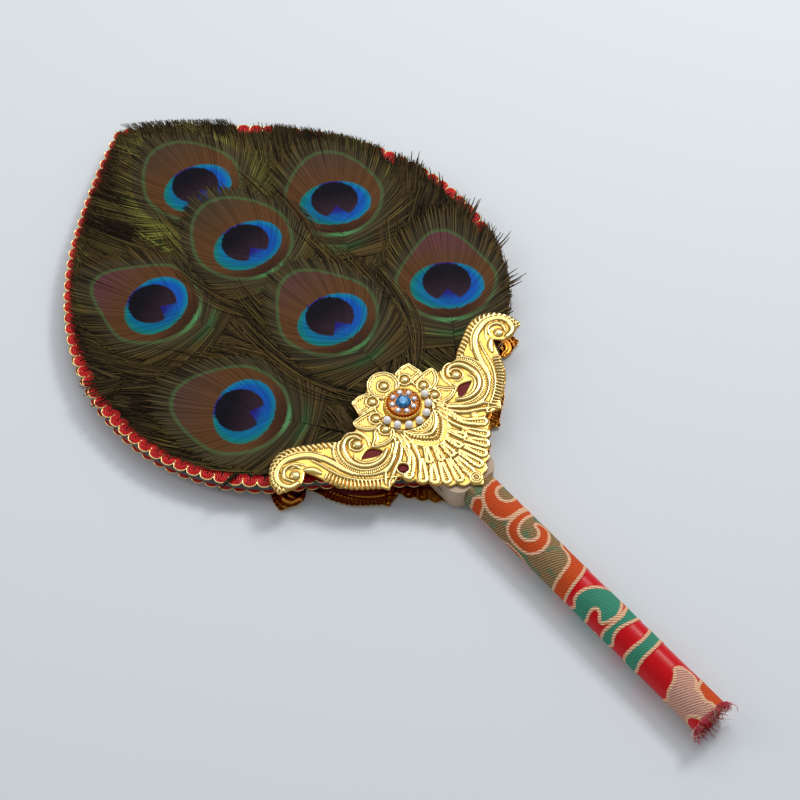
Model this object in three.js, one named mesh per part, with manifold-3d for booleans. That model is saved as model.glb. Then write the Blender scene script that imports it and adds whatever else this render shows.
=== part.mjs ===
// A hand fan of peacock feathers. A leaf-shaped board carries a bed of loose barbs and seven eye feathers
// on each face, and its edge is bound in ribbon with a looped braid round each face. The board's tail is
// held in the slotted head of a round wooden handle, sleeved in brocade, between two stamped gilt plates.
// The front plate carries a small enamelled cup with a cut stone, and a row of pearls.
// Millimetres. +Y runs from the handle's butt to the blade's tip, +X across the blade, +Z out of the front.
// The origin is under the middle of the box, on the surface that the fan lies on.

import * as THREE from "three";
import { mergeVertices } from "three/addons/utils/BufferGeometryUtils.js";
import Module from "manifold-3d";

const wasm = await Module();
wasm.setup();

// Sizes across the fan are written from a datum: the line joining the middles of the plate's outer scrolls.

// Clearances
const seat_gap = 0.1;
const side_gap = 0.3;
const cut_overrun = 5;

// Head of the handle: it holds the board's tail, and the blade's edge runs in to it
const head_half_width = 13;
const head_rise = 6;
const shoulder_drop = 49;
const shoulder_round = 7;
const shoulder_steps = 5;
const shoulder_control_share = 0.25;
const wood_below_slot = 3;
const tail_length = 8;
const tail_drop = shoulder_drop - wood_below_slot;
const neck_drop = tail_drop - tail_length;

// Blade
const blade_half_width = 107.8;
const tip_reach = 227.8;
const board_thickness = 2.4;
const board_inset = 2;
const blade_steps = 26;
const blade_outline_shares = [
  [0, 1], [0.278, 0.907], [0.631, 0.759], [0.863, 0.608], [0.974, 0.465], [1, 0.346],
  [0.963, 0.224], [0.855, 0.114], [0.7, 0.0285], [0.482, -0.044],
];

// Ribbon bound over the board's edge
const binding_thickness = 0.45;
const binding_lip = 3.6;

// Braid laid on the binding, one round each face
const braid_width = 4.8;
const braid_thickness = 1.3;
const braid_loop_pitch = 5.1;
const braid_loop_depth = 0.9;
const samples_per_loop = 2;

// Eye feathers: their places are shares of the blade's half width and of its reach
const vane_half_width = 27;
const vane_length = 76;
const vane_thickness = 0.28;
const vane_steps = 8;
const vane_foot_share = 0.52;
const vane_outline_shares = [
  [0.05, 0], [0.4, 0.09], [0.82, 0.26], [1, 0.47], [0.93, 0.68], [0.62, 0.88], [0, 1],
];
const shaft_height = 0.5;
const shaft_width = 1.8;
const shaft_steps = 3;
const shaft_taper_share = 0.6;
const feather_layers = 3;
const eye_feathers = [
  { name: "tip", layer: 0, eye_share: [0.074, 0.737], foot_share: [0.02, 0.037], tilt_degrees: 3 },
  { name: "upper_left", layer: 0, eye_share: [-0.482, 0.53], foot_share: [-0.1, 0.037], tilt_degrees: -24 },
  { name: "upper_right", layer: 0, eye_share: [0.513, 0.505], foot_share: [0.1, 0.037], tilt_degrees: 28 },
  { name: "middle", layer: 1, eye_share: [0.042, 0.533], foot_share: [0.03, 0.037], tilt_degrees: 2 },
  { name: "lower_left", layer: 1, eye_share: [-0.53, 0.193], foot_share: [-0.28, 0.018], tilt_degrees: -36 },
  { name: "lower_right", layer: 1, eye_share: [0.591, 0.17], foot_share: [0.35, 0.006], tilt_degrees: 35 },
  { name: "lower_middle", layer: 2, eye_share: [0.07, 0.257], foot_share: [0.05, 0.037], tilt_degrees: 2 },
];

// Gilt plates
const plate_half_width = 73.8;
const plate_drop = 59.3;
const sheet_thickness = 0.5;
const lining_thickness = 0.5;
const lining_room = 1.35;
const scallop_depth = 0.8;
const lobe_scallop_depth = 1.5;
const upper_scallops = 13;
const lower_scallops = 8;
const lobe_scallops = 5;
const samples_per_scallop = 2;
const samples_per_lobe = 3;
const crest_radius = 7.9;
const crest_height_share = 0.189;
const crest_steps = 5;
const crest_tuck_degrees = 15;
const nail_hole_radius = 2.3;
const nail_hole_share = [-0.297, -0.496];

// The plate's right half, from the crest to the point, as shares of its half width and of its drop
const upper_petals_shares = [
  [0.125, 0.223], [0.18, 0.239], [0.238, 0.226], [0.249, 0.165], [0.262, 0.088], [0.292, 0.09],
  [0.33, 0.072], [0.334, 0.015], [0.352, 0.008], [0.385, 0.028], [0.42, 0.03], [0.462, 0.01],
];
const upper_border_shares = [
  [0.495, 0.02], [0.54, 0.065], [0.61, 0.118], [0.695, 0.18], [0.765, 0.214], [0.833, 0.214],
  [0.913, 0.168], [0.966, 0.09], [0.988, 0.01], [0.99, -0.066],
];
const scroll_underside_shares = [
  [0.946, -0.078], [0.893, -0.106], [0.84, -0.105], [0.81, -0.084], [0.775, -0.04], [0.748, -0.1],
];
const lower_border_shares = [
  [0.722, -0.184], [0.685, -0.277], [0.637, -0.366], [0.574, -0.435], [0.508, -0.497], [0.488, -0.52],
];
const spike_shares = [[0.46, -0.577], [0.427, -0.555], [0.386, -0.547], [0.36, -0.53]];
const lobe_border_shares = [
  [0.345, -0.55], [0.27, -0.676], [0.19, -0.782], [0.115, -0.862], [0.052, -0.925],
];
const point_shares = [[0.045, -0.955], [0, -1]];
const tear_steps = 9;
const tear_hole_shares = [[0.458, -0.21], [0.4, -0.17], [0.345, -0.2], [0.331, -0.28], [0.4, -0.285]];
const lining_steps = 12;
const lining_shares = [
  [0.2, 0.12], [0.34, -0.03], [0.5, -0.05], [0.62, 0.03], [0.7, -0.03], [0.62, -0.26], [0.5, -0.4],
  [0.36, -0.46], [0.2, -0.62], [0, -0.84],
];

// Knobs of the scrolls and petals
const knob_radius = 1.9;
const knob_height = 1.3;
const knob_sides = 6;
const knob_shoulder_share = 0.8;
const knob_shoulder_height_share = 0.7;
const knob_shares = [[0.835, -0.015], [0.407, -0.11], [0.133, 0.121], [0.194, -0.015], [0.203, -0.138]];

// Ridges of the plate's right half: each swells to full width by its middle and tapers to its ends
const ridge_sides = 4;
const ridge_sink = 0.15;
const ridge_height = 1;
const ridge_half_width = 1.25;
const ridge_end_share = 0.45;
const outer_scroll_shares = [
  [0.82, -0.06], [0.885, -0.07], [0.935, 0.01], [0.9, 0.1], [0.826, 0.134], [0.73, 0.112],
  [0.65, 0.03], [0.608, -0.09], [0.574, -0.225], [0.515, -0.34], [0.42, -0.413], [0.315, -0.405],
  [0.21, -0.3],
];
const scroll_line_shares = [
  [0.775, 0.035], [0.725, 0.03], [0.688, -0.03], [0.655, -0.12], [0.62, -0.23], [0.572, -0.34],
  [0.5, -0.43],
];
const inner_scroll_shares = [
  [0.35, -0.15], [0.33, -0.075], [0.36, -0.01], [0.42, 0.005], [0.475, -0.03], [0.512, -0.11],
  [0.502, -0.215], [0.445, -0.305], [0.35, -0.338], [0.25, -0.3], [0.18, -0.225],
];
const spike_plume_shares = [[0.17, -0.255], [0.215, -0.36], [0.3, -0.46], [0.44, -0.55]];
const lobe_plume_shares = [[0.152, -0.26], [0.18, -0.4], [0.24, -0.53], [0.325, -0.595]];
const pendant_shares = [[0.145, -0.25], [0.138, -0.37], [0.075, -0.465], [-0.004, -0.53]];
const first_petal_shares = [[0.112, 0.165], [0.17, 0.2], [0.218, 0.197], [0.228, 0.14], [0.2, 0.09]];
const second_petal_shares = [[0.17, 0.05], [0.23, 0.062], [0.3, 0.05], [0.29, -0.02], [0.225, -0.055]];
const third_petal_shares = [[0.24, -0.09], [0.285, -0.12], [0.32, -0.17], [0.27, -0.22]];
const ridges = [
  { path_shares: outer_scroll_shares, width_share: 1.3, height_share: 1, steps: 14 },
  { path_shares: scroll_line_shares, width_share: 0.8, height_share: 0.8, steps: 8 },
  { path_shares: inner_scroll_shares, width_share: 1.2, height_share: 1, steps: 12 },
  { path_shares: spike_plume_shares, width_share: 1.2, height_share: 0.9, steps: 5 },
  { path_shares: lobe_plume_shares, width_share: 1.2, height_share: 0.9, steps: 5 },
  { path_shares: pendant_shares, width_share: 1.2, height_share: 1, steps: 5 },
  { path_shares: first_petal_shares, width_share: 0.7, height_share: 0.8, steps: 5 },
  { path_shares: second_petal_shares, width_share: 0.7, height_share: 0.8, steps: 5 },
  { path_shares: third_petal_shares, width_share: 0.7, height_share: 0.8, steps: 4 },
];

// Ribs between the lobes of the plate's lower fan
const lobe_rib_steps = 2;
const lobe_rib_width_share = 0.7;
const lobe_rib_height_share = 0.8;
const lobe_rib_start_share = 0.62;
const lobe_rib_end_share = 0.93;
const lobe_fan_centre_share = -0.1;

// Grip
const grip_radius = 8.9;
const grip_length = 138.7;
const sleeve_thickness = 0.55;
const handle_sides = 28;
const flat_overrun = 1.2;
const fray_depth = 1.1;
const fray_length = 3;
const fray_wave_shares = [0.6, 0.4];
const fray_wave_rates = [2.4, 5.3];

// Rosette
const rosette_drop = 3.5;
const cup_radius = 8.7;
const cup_height = 2.2;
const cup_wall = 0.9;
const cup_sides = 20;
const setting_room = 0.9;
const setting_height = 2.2;
const stone_radius = 3.6;
const stone_depth = 2.9;
const stone_sides = 12;
const stone_pavilion_share = 0.55;
const stone_girdle_share = 0.08;
const stone_table_share = 0.6;
const small_stones = 8;
const small_stone_share = 0.36;
const small_stone_sides = 6;
const pearls = 7;
const pearl_radius = 1.95;
const pearl_sides = 8;
const pearl_steps = 4;
const pearl_seat_degrees = 45;
const pearl_gap = 1.45;
const pearl_cup_gap = 0.85;

// Boss and rivet through the middle
const boss_radius = 9.5;
const rivet_shank_radius = 1.5;
const rivet_head_radius = 3.2;
const rivet_head_height = 0.7;
const rivet_sides = 12;

// Heights from the middle plane of the blade, worked out from the thicknesses
const board_face = board_thickness / 2;
const binding_face = board_face + seat_gap + binding_thickness;
const braid_base = binding_face + seat_gap;
const bed_face = braid_base + braid_thickness;
const layer_pitch = Math.max(shaft_height, vane_thickness) + seat_gap;
const feather_face = bed_face + feather_layers * layer_pitch;
const lining_base = feather_face + lining_room;
const plate_base = lining_base + lining_thickness + seat_gap;
const plate_face = plate_base + sheet_thickness;
const cheek_face = lining_base - seat_gap;
const rest_height = Math.max(grip_radius, plate_face + ridge_height, plate_face + knob_height);

// Places along the handle, from the datum
const flats_end = -plate_drop - flat_overrun;
const neck_y = -shoulder_drop - shoulder_round;
const butt_y = flats_end - grip_length;
const slot_end = -tail_drop - side_gap;

// Radii worked out from what each piece holds or seats in
const dowel_radius = grip_radius - sleeve_thickness - side_gap;
const rivet_bore_radius = rivet_shank_radius + side_gap;
const cup_inner_radius = cup_radius - cup_wall;
const setting_radius = cup_inner_radius - setting_room;
const stone_seat_radius = stone_radius + seat_gap;
const small_stone_radius = (setting_radius - stone_seat_radius) * small_stone_share;

// Finishes
const finishes = {
  wood: { color: 0xc9a993, roughness: 0.8, metalness: 0 },
  brocade: { color: 0xa8322a, roughness: 0.55, metalness: 0 },
  card: { color: 0xbfa38f, roughness: 0.9, metalness: 0 },
  ribbon: { color: 0x3a423f, roughness: 0.8, metalness: 0 },
  braid: { color: 0xb3241c, roughness: 0.6, metalness: 0.1 },
  barbs: { color: 0x3d3a24, roughness: 0.7, metalness: 0 },
  eye: { color: 0x1d5a78, roughness: 0.45, metalness: 0.2 },
  gilt: { color: 0xd9a93f, roughness: 0.28, metalness: 1 },
  lining: { color: 0x6d1713, roughness: 0.9, metalness: 0 },
  enamel: { color: 0xd9761f, roughness: 0.2, metalness: 0.2 },
  stone: { color: 0x2394b8, roughness: 0.05, metalness: 0 },
  crystal: { color: 0xd9cbd0, roughness: 0.05, metalness: 0 },
  pearl: { color: 0xf3efe6, roughness: 0.25, metalness: 0 },
};

const fan = new THREE.Group();

function addPiece(name, finish, geometry, parent = fan) {
  const mesh = new THREE.Mesh(geometry, new THREE.MeshStandardMaterial(finishes[finish]));
  mesh.name = name;
  parent.add(mesh);
  return mesh;
}

// A group for the pieces of the back face, which are made face up and turned over
function addBackGroup() {
  const group = new THREE.Group();
  group.rotation.y = Math.PI;
  fan.add(group);
  return group;
}

// Joining and cutting

function toSolid(geometry) {
  const bare = geometry.clone();
  bare.deleteAttribute("normal");
  bare.deleteAttribute("uv");
  const merged = mergeVertices(bare);
  return new wasm.Manifold(new wasm.Mesh({
    numProp: 3,
    vertProperties: new Float32Array(merged.attributes.position.array),
    triVerts: new Uint32Array(merged.index.array),
  }));
}

function toGeometry(solid) {
  const mesh = solid.getMesh();
  const geometry = new THREE.BufferGeometry();
  geometry.setAttribute("position", new THREE.BufferAttribute(new Float32Array(mesh.vertProperties), 3));
  geometry.setIndex(new THREE.BufferAttribute(new Uint32Array(mesh.triVerts), 1));
  geometry.computeVertexNormals();
  return geometry;
}

function box(x0, x1, y0, y1, z0, z1) {
  const geometry = new THREE.BoxGeometry(x1 - x0, y1 - y0, z1 - z0);
  geometry.translate((x0 + x1) / 2, (y0 + y1) / 2, (z0 + z1) / 2);
  return geometry;
}

// A round bar along Y whose flats, not its corners, stand at the radius, with one flat facing down
function roundBar(radius, y0, y1, sides) {
  const corner_radius = radius / Math.cos(Math.PI / sides);
  const geometry = new THREE.CylinderGeometry(corner_radius, corner_radius, y1 - y0, sides);
  geometry.rotateY(Math.PI / sides);
  geometry.translate(0, (y0 + y1) / 2, 0);
  return geometry;
}

// A piece turned about a line along Z, from [radius, height] pairs that close on the axis or on themselves
function turned(profile, sides, x, y) {
  const points = profile.map(([radius, height]) => new THREE.Vector2(radius, height));
  const geometry = new THREE.LatheGeometry(points, sides);
  geometry.rotateX(Math.PI / 2);
  geometry.translate(x, y, 0);
  return geometry;
}

function disc(radius, low, high, sides, y) {
  return turned([[0, low], [radius, low], [radius, high], [0, high]], sides, 0, y);
}

function extruded(points, base, depth, holes = []) {
  const shape = new THREE.Shape(points);
  for (const hole of holes) shape.holes.push(new THREE.Path(hole));
  const geometry = new THREE.ExtrudeGeometry(shape, { depth, bevelEnabled: false, curveSegments: 1 });
  geometry.translate(0, 0, base);
  return geometry;
}

function circlePoints(x, y, radius, sides) {
  return new THREE.Path().absarc(x, y, radius, 0, Math.PI * 2, false).getPoints(sides).slice(0, -1);
}

function mirrorPoints(points) {
  return points.map((point) => new THREE.Vector2(-point.x, point.y)).reverse();
}

// Points that follow a chain of shares of the given sizes, evenly spaced along a smooth curve
function curveThrough(shares, x_size, y_size, steps) {
  const points = shares.map(([x_share, y_share]) => new THREE.Vector2(x_share * x_size, y_share * y_size));
  return new THREE.SplineCurve(points).getSpacedPoints(steps);
}

function normalsOf(points) {
  return points.map((point, index) => {
    const before = points[Math.max(index - 1, 0)];
    const after = points[Math.min(index + 1, points.length - 1)];
    const along = after.clone().sub(before).normalize();
    return new THREE.Vector2(along.y, -along.x);
  });
}

// A geometry whose faces are turned to point out of the solid
function outward(positions, index) {
  const geometry = new THREE.BufferGeometry();
  geometry.setAttribute("position", new THREE.BufferAttribute(new Float32Array(positions), 3));
  const [a, b, c] = [new THREE.Vector3(), new THREE.Vector3(), new THREE.Vector3()];
  let volume = 0;
  for (let corner = 0; corner < index.length; corner += 3) {
    a.fromBufferAttribute(geometry.attributes.position, index[corner]);
    b.fromBufferAttribute(geometry.attributes.position, index[corner + 1]);
    c.fromBufferAttribute(geometry.attributes.position, index[corner + 2]);
    volume += a.dot(b.cross(c));
  }
  geometry.setIndex(volume > 0 ? index : index.slice().reverse());
  geometry.computeVertexNormals();
  return geometry;
}

// A closed skin over rails that run side by side, with the cap's triangles closing both ends
function sweptRails(rails, cap) {
  const count = rails.length;
  const steps = rails[0].length;
  const positions = [];
  for (let step = 0; step < steps; step += 1) {
    for (const rail of rails) positions.push(rail[step].x, rail[step].y, rail[step].z);
  }
  const index = [];
  for (let step = 0; step < steps - 1; step += 1) {
    for (let side = 0; side < count; side += 1) {
      const a = step * count + side;
      const b = step * count + ((side + 1) % count);
      index.push(a, a + count, b, b, a + count, b + count);
    }
  }
  const last = (steps - 1) * count;
  for (const [a, b, c] of cap) {
    index.push(a, b, c);
    index.push(last + a, last + c, last + b);
  }
  return outward(positions, index);
}

// Blade

function bladeEdge(steps) {
  const points = blade_outline_shares.map(
    ([x_share, y_share]) => new THREE.Vector2(x_share * blade_half_width, y_share * tip_reach));
  points.push(new THREE.Vector2(head_half_width + side_gap + braid_width, -neck_drop));
  return new THREE.SplineCurve(points).getSpacedPoints(steps);
}

// The right-hand edge moved inwards, with the tip mitred so that both halves meet on the middle line
function insetEdge(inset, steps = blade_steps) {
  const edge = bladeEdge(steps);
  const normals = normalsOf(edge);
  const tip_run = edge[1].clone().sub(edge[0]).normalize();
  return edge.map((point, index) => {
    if (index === 0) return new THREE.Vector2(0, point.y - inset / tip_run.x);
    return new THREE.Vector2(point.x + normals[index].x * inset, point.y + normals[index].y * inset);
  });
}

function closedLeaf(right_half) {
  return [...right_half, ...mirrorPoints(right_half).slice(0, -1)];
}

function wholeEdge(right_half) {
  return [...mirrorPoints(right_half), ...right_half.slice(1)];
}

function addBoard() {
  const tail_half_width = head_half_width - side_gap;
  const right_half = [
    ...insetEdge(board_inset),
    new THREE.Vector2(tail_half_width, -neck_drop),
    new THREE.Vector2(tail_half_width, -tail_drop),
    new THREE.Vector2(0, -tail_drop),
  ];
  const board = extruded(closedLeaf(right_half), -board_face, board_thickness, [rivetHole()]);
  addPiece("core_board", "card", board);
}

// A ribbon folded over the board's edge: one U-shaped section swept round the blade
function addBinding() {
  const inner = board_inset - side_gap;
  const outer = inner - binding_thickness;
  const lip = outer + binding_lip;
  const inside_face = board_face + seat_gap;
  const section = [
    [outer, -binding_face], [outer, binding_face], [lip, binding_face], [lip, inside_face],
    [inner, inside_face], [inner, -inside_face], [lip, -inside_face], [lip, -binding_face],
  ];
  const rails = section.map(([inset, height]) => wholeEdge(insetEdge(inset)).map(
    (point) => new THREE.Vector3(point.x, point.y, height)));
  const cap = [[0, 1, 4], [1, 2, 3], [1, 3, 4], [0, 4, 5], [0, 5, 6], [0, 6, 7]];
  addPiece("edge_binding", "ribbon", sweptRails(rails, cap));
}

// A braid whose outer edge is a row of loops and whose inner edge is plain
function addBraid(name, base) {
  const loops = Math.round(new THREE.Path(bladeEdge(blade_steps)).getLength() / braid_loop_pitch);
  const edge = insetEdge(braid_loop_depth, loops * samples_per_loop);
  const normals = normalsOf(edge);
  const outer = edge.map((point, index) => {
    if (index === 0) return insetEdge(0)[0];
    const swell = Math.abs(Math.sin((Math.PI * index) / samples_per_loop)) * braid_loop_depth;
    return point.clone().addScaledVector(normals[index], -swell);
  });
  const band = [...wholeEdge(outer), ...wholeEdge(insetEdge(braid_width)).reverse()];
  addPiece(name, "braid", extruded(band, base, braid_thickness));
}

// The bed of loose barbs fills the face inside the braid and stops round the handle's head
function addBed(name, base) {
  const edge = insetEdge(braid_width + side_gap);
  const head_side = head_half_width + side_gap;
  const right_half = [
    ...edge,
    new THREE.Vector2(head_side, edge[edge.length - 1].y),
    new THREE.Vector2(head_side, head_rise + side_gap),
    new THREE.Vector2(0, head_rise + side_gap),
  ];
  addPiece(name, "barbs", extruded(closedLeaf(right_half), base, bed_face - board_face - seat_gap));
}

function addBlade() {
  addBoard();
  addBinding();
  addBraid("front_braid", braid_base);
  addBraid("back_braid", -braid_base - braid_thickness);
  addBed("front_feather_bed", board_face + seat_gap);
  addBed("back_feather_bed", -bed_face);
}

// Eye feathers

// One feather: a thin vane round the eye and a raised shaft that runs on down to the foot
function featherGeometry({ layer, eye_share, foot_share, tilt_degrees }) {
  const eye = new THREE.Vector2(eye_share[0] * blade_half_width, eye_share[1] * tip_reach);
  const foot = new THREE.Vector2(foot_share[0] * blade_half_width, foot_share[1] * tip_reach);
  const tilt = THREE.MathUtils.degToRad(tilt_degrees);
  const along = new THREE.Vector2(Math.sin(tilt), Math.cos(tilt));
  const across = new THREE.Vector2(along.y, -along.x);
  const vane_foot = eye.clone().addScaledVector(along, -vane_length * vane_foot_share);
  const place = (point) => vane_foot.clone().addScaledVector(across, point.x).addScaledVector(along, point.y);
  const right = curveThrough(vane_outline_shares, vane_half_width, vane_length, vane_steps);
  const outline = [...right, ...mirrorPoints(right).slice(1)].map(place);
  const base = bed_face + seat_gap + layer * layer_pitch;
  const vane = toSolid(extruded(outline, base, vane_thickness));
  const shaft = toSolid(extruded(shaftOutline(foot, vane_foot, eye), base, shaft_height));
  return toGeometry(vane.add(shaft));
}

// The shaft's outline: wide at the foot, bending at the vane and tapering out at the eye
function shaftOutline(foot, vane_foot, eye) {
  const middle = new THREE.QuadraticBezierCurve(foot, vane_foot, eye).getPoints(shaft_steps);
  const normals = normalsOf(middle);
  const side = (sign) => middle.map((point, index) => {
    const half_width = (shaft_width / 2) * (1 - (shaft_taper_share * index) / shaft_steps);
    return point.clone().addScaledVector(normals[index], sign * half_width);
  });
  return [...side(1), ...side(-1).reverse()];
}

function addFeathers() {
  const back = addBackGroup();
  for (const feather of eye_feathers) {
    addPiece(`front_${feather.name}_feather`, "eye", featherGeometry(feather));
    addPiece(`back_${feather.name}_feather`, "eye", featherGeometry(feather), back);
  }
}

// Plates

function plateAt([x_share, y_share]) {
  return new THREE.Vector2(x_share * plate_half_width, y_share * plate_drop);
}

function plateCurve(shares, steps) {
  return curveThrough(shares, plate_half_width, plate_drop, steps);
}

// A curve of the plate's outline swelled outwards into a row of scallops
function scalloped(shares, count, depth, samples) {
  const points = plateCurve(shares, count * samples);
  const normals = normalsOf(points);
  return points.map((point, index) => {
    const swell = Math.abs(Math.sin((Math.PI * index) / samples)) * depth;
    return point.clone().addScaledVector(normals[index], -swell);
  });
}

// The round petal on the axis, from the middle line to where it tucks under the first side petal
function crestPoints() {
  const centre = plateAt([0, crest_height_share]);
  const end = plateAt(upper_petals_shares[0]);
  const tuck = THREE.MathUtils.degToRad(crest_tuck_degrees);
  const end_angle = Math.atan2(end.y - centre.y, end.x) + tuck;
  const points = [];
  for (let step = 0; step <= crest_steps; step += 1) {
    const angle = THREE.MathUtils.lerp(Math.PI / 2, end_angle, step / crest_steps);
    const spoke = new THREE.Vector2(Math.cos(angle), Math.sin(angle));
    points.push(centre.clone().addScaledVector(spoke, crest_radius));
  }
  return points;
}

function plateOutline() {
  const right = [
    ...crestPoints(),
    ...upper_petals_shares.map(plateAt),
    ...scalloped(upper_border_shares, upper_scallops, scallop_depth, samples_per_scallop),
    ...scroll_underside_shares.map(plateAt),
    ...scalloped(lower_border_shares, lower_scallops, scallop_depth, samples_per_scallop),
    ...spike_shares.map(plateAt),
    ...scalloped(lobe_border_shares, lobe_scallops, lobe_scallop_depth, samples_per_lobe),
    ...point_shares.map(plateAt),
  ];
  return [...right, ...mirrorPoints(right).slice(1, -1)];
}

// A ridge with an arched section that swells and tapers along a flat path on the sheet
function ridgeGeometry(path, half_width, height, side) {
  const points = path.map((point) => new THREE.Vector2(point.x * side, point.y));
  const normals = normalsOf(points);
  const rails = [];
  for (let corner = 0; corner < ridge_sides; corner += 1) {
    const angle = (corner / (ridge_sides - 1)) * Math.PI;
    rails.push(points.map((point, index) => {
      const swell = Math.sin((Math.PI * index) / (points.length - 1));
      const taper = THREE.MathUtils.lerp(ridge_end_share, 1, swell);
      const lift = Math.sin(angle) * (height * taper + ridge_sink) - ridge_sink;
      const spot = point.clone().addScaledVector(normals[index], Math.cos(angle) * half_width * taper);
      return new THREE.Vector3(spot.x, spot.y, plate_face + lift);
    }));
  }
  const cap = [];
  for (let corner = 1; corner < ridge_sides - 1; corner += 1) cap.push([0, corner, corner + 1]);
  return sweptRails(rails, cap);
}

// Ribs between the lobes run out from a point above the pendant, one to each valley of the border
function lobeRibs() {
  const centre = plateAt([0, lobe_fan_centre_share]);
  return plateCurve(lobe_border_shares, lobe_scallops).slice(1).map((valley) => {
    const path = [];
    for (let step = 0; step <= lobe_rib_steps; step += 1) {
      const share = THREE.MathUtils.lerp(lobe_rib_start_share, lobe_rib_end_share, step / lobe_rib_steps);
      path.push(centre.clone().lerp(valley, share));
    }
    return { path, width_share: lobe_rib_width_share, height_share: lobe_rib_height_share };
  });
}

function knobSolid(x, y) {
  const shoulder = plate_face + knob_height * knob_shoulder_height_share;
  const profile = [
    [0, plate_face - ridge_sink], [knob_radius, plate_face - ridge_sink],
    [knob_radius * knob_shoulder_share, shoulder], [0, plate_face + knob_height],
  ];
  return toSolid(turned(profile, knob_sides, x, y));
}

// One stamped plate, face up. The underside that faces the blade is flat, so that it clears the lining.
function plateSolid(extra_holes) {
  const tear = plateCurve([...tear_hole_shares, tear_hole_shares[0]], tear_steps).slice(1);
  const holes = [tear, mirrorPoints(tear), ...extra_holes];
  const paths = ridges.map((ridge) => ({ ...ridge, path: plateCurve(ridge.path_shares, ridge.steps) }));
  let plate = toSolid(extruded(plateOutline(), plate_base, sheet_thickness, holes));
  for (const side of [1, -1]) {
    for (const { path, width_share, height_share } of [...paths, ...lobeRibs()]) {
      const half_width = ridge_half_width * width_share;
      plate = plate.add(toSolid(ridgeGeometry(path, half_width, ridge_height * height_share, side)));
    }
    for (const share of knob_shares) {
      const place = plateAt(share);
      plate = plate.add(knobSolid(place.x * side, place.y));
    }
  }
  const crest = plateAt([0, crest_height_share]);
  return plate.add(knobSolid(crest.x, crest.y));
}

function rivetHole() {
  return circlePoints(0, -rosette_drop, rivet_bore_radius, rivet_sides);
}

// The back plate carries a boss that the fan lies on, hollowed for the rivet's tail
function backPlateSolid() {
  const y = -rosette_drop;
  const recess_base = rest_height - rivet_head_height - side_gap;
  const recess_radius = rivet_head_radius + side_gap;
  const boss = turned([
    [0, plate_base], [boss_radius, plate_base], [boss_radius, rest_height - ridge_sink],
    [boss_radius - ridge_sink, rest_height], [0, rest_height],
  ], cup_sides, 0, y);
  const recess = disc(recess_radius, recess_base, rest_height + cut_overrun, rivet_sides, y);
  const bore = disc(rivet_bore_radius, 0, rest_height, rivet_sides, y);
  return plateSolid([]).add(toSolid(boss)).subtract(toSolid(recess)).subtract(toSolid(bore));
}

function addPlates() {
  const nail = plateAt(nail_hole_share);
  const nail_hole = circlePoints(nail.x, nail.y, nail_hole_radius, rivet_sides);
  const back = addBackGroup();
  addPiece("front_plate", "gilt", toGeometry(plateSolid([rivetHole(), nail_hole])));
  addPiece("back_plate", "gilt", toGeometry(backPlateSolid()), back);
  const right = plateCurve(lining_shares, lining_steps);
  const outline = [...right, ...mirrorPoints(right).slice(1)];
  for (const [name, parent] of [["front_lining", fan], ["back_lining", back]]) {
    addPiece(name, "lining", extruded(outline, lining_base, lining_thickness, [rivetHole()]), parent);
  }
}

// Handle

// The head is a flat paddle with rounded shoulders, slotted for the board's tail, on a round bar
function handleCore() {
  const control_y = neck_y + shoulder_round * shoulder_control_share;
  const shape = new THREE.Shape();
  shape.moveTo(-head_half_width, head_rise);
  shape.lineTo(-head_half_width, -shoulder_drop);
  shape.quadraticCurveTo(-head_half_width, control_y, -dowel_radius, neck_y);
  shape.lineTo(dowel_radius, neck_y);
  shape.quadraticCurveTo(head_half_width, control_y, head_half_width, -shoulder_drop);
  shape.lineTo(head_half_width, head_rise);
  const head = new THREE.ExtrudeGeometry(
    shape, { depth: cheek_face * 2, bevelEnabled: false, curveSegments: shoulder_steps });
  head.translate(0, 0, -cheek_face);
  const wide = head_half_width + cut_overrun;
  const slot_half = board_face + seat_gap;
  const slot = box(-wide, wide, slot_end, head_rise + cut_overrun, -slot_half, slot_half);
  const bore = disc(rivet_bore_radius, -rest_height, rest_height, rivet_sides, -rosette_drop);
  const dowel = roundBar(dowel_radius, butt_y, -shoulder_drop, handle_sides);
  const grip = cutFlats(toSolid(dowel), cheek_face);
  return toGeometry(grip.add(toSolid(head)).subtract(toSolid(slot)).subtract(toSolid(bore)));
}

// Flats above and below, from the plates' points upwards, so that the plates lie on wood
function cutFlats(solid, flat_z) {
  const wide = grip_radius + cut_overrun;
  const high = rest_height + cut_overrun;
  const upper = toSolid(box(-wide, wide, flats_end, head_rise, flat_z, high));
  const lower = toSolid(box(-wide, wide, flats_end, head_rise, -high, -flat_z));
  return solid.subtract(upper).subtract(lower);
}

// How far the brocade's torn end reaches past its middle at one corner, as a share of the fray's depth
function frayShare(corner) {
  return fray_wave_shares.reduce(
    (sum, share, index) => sum + Math.sin(corner * fray_wave_rates[index]) * share, 0);
}

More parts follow.
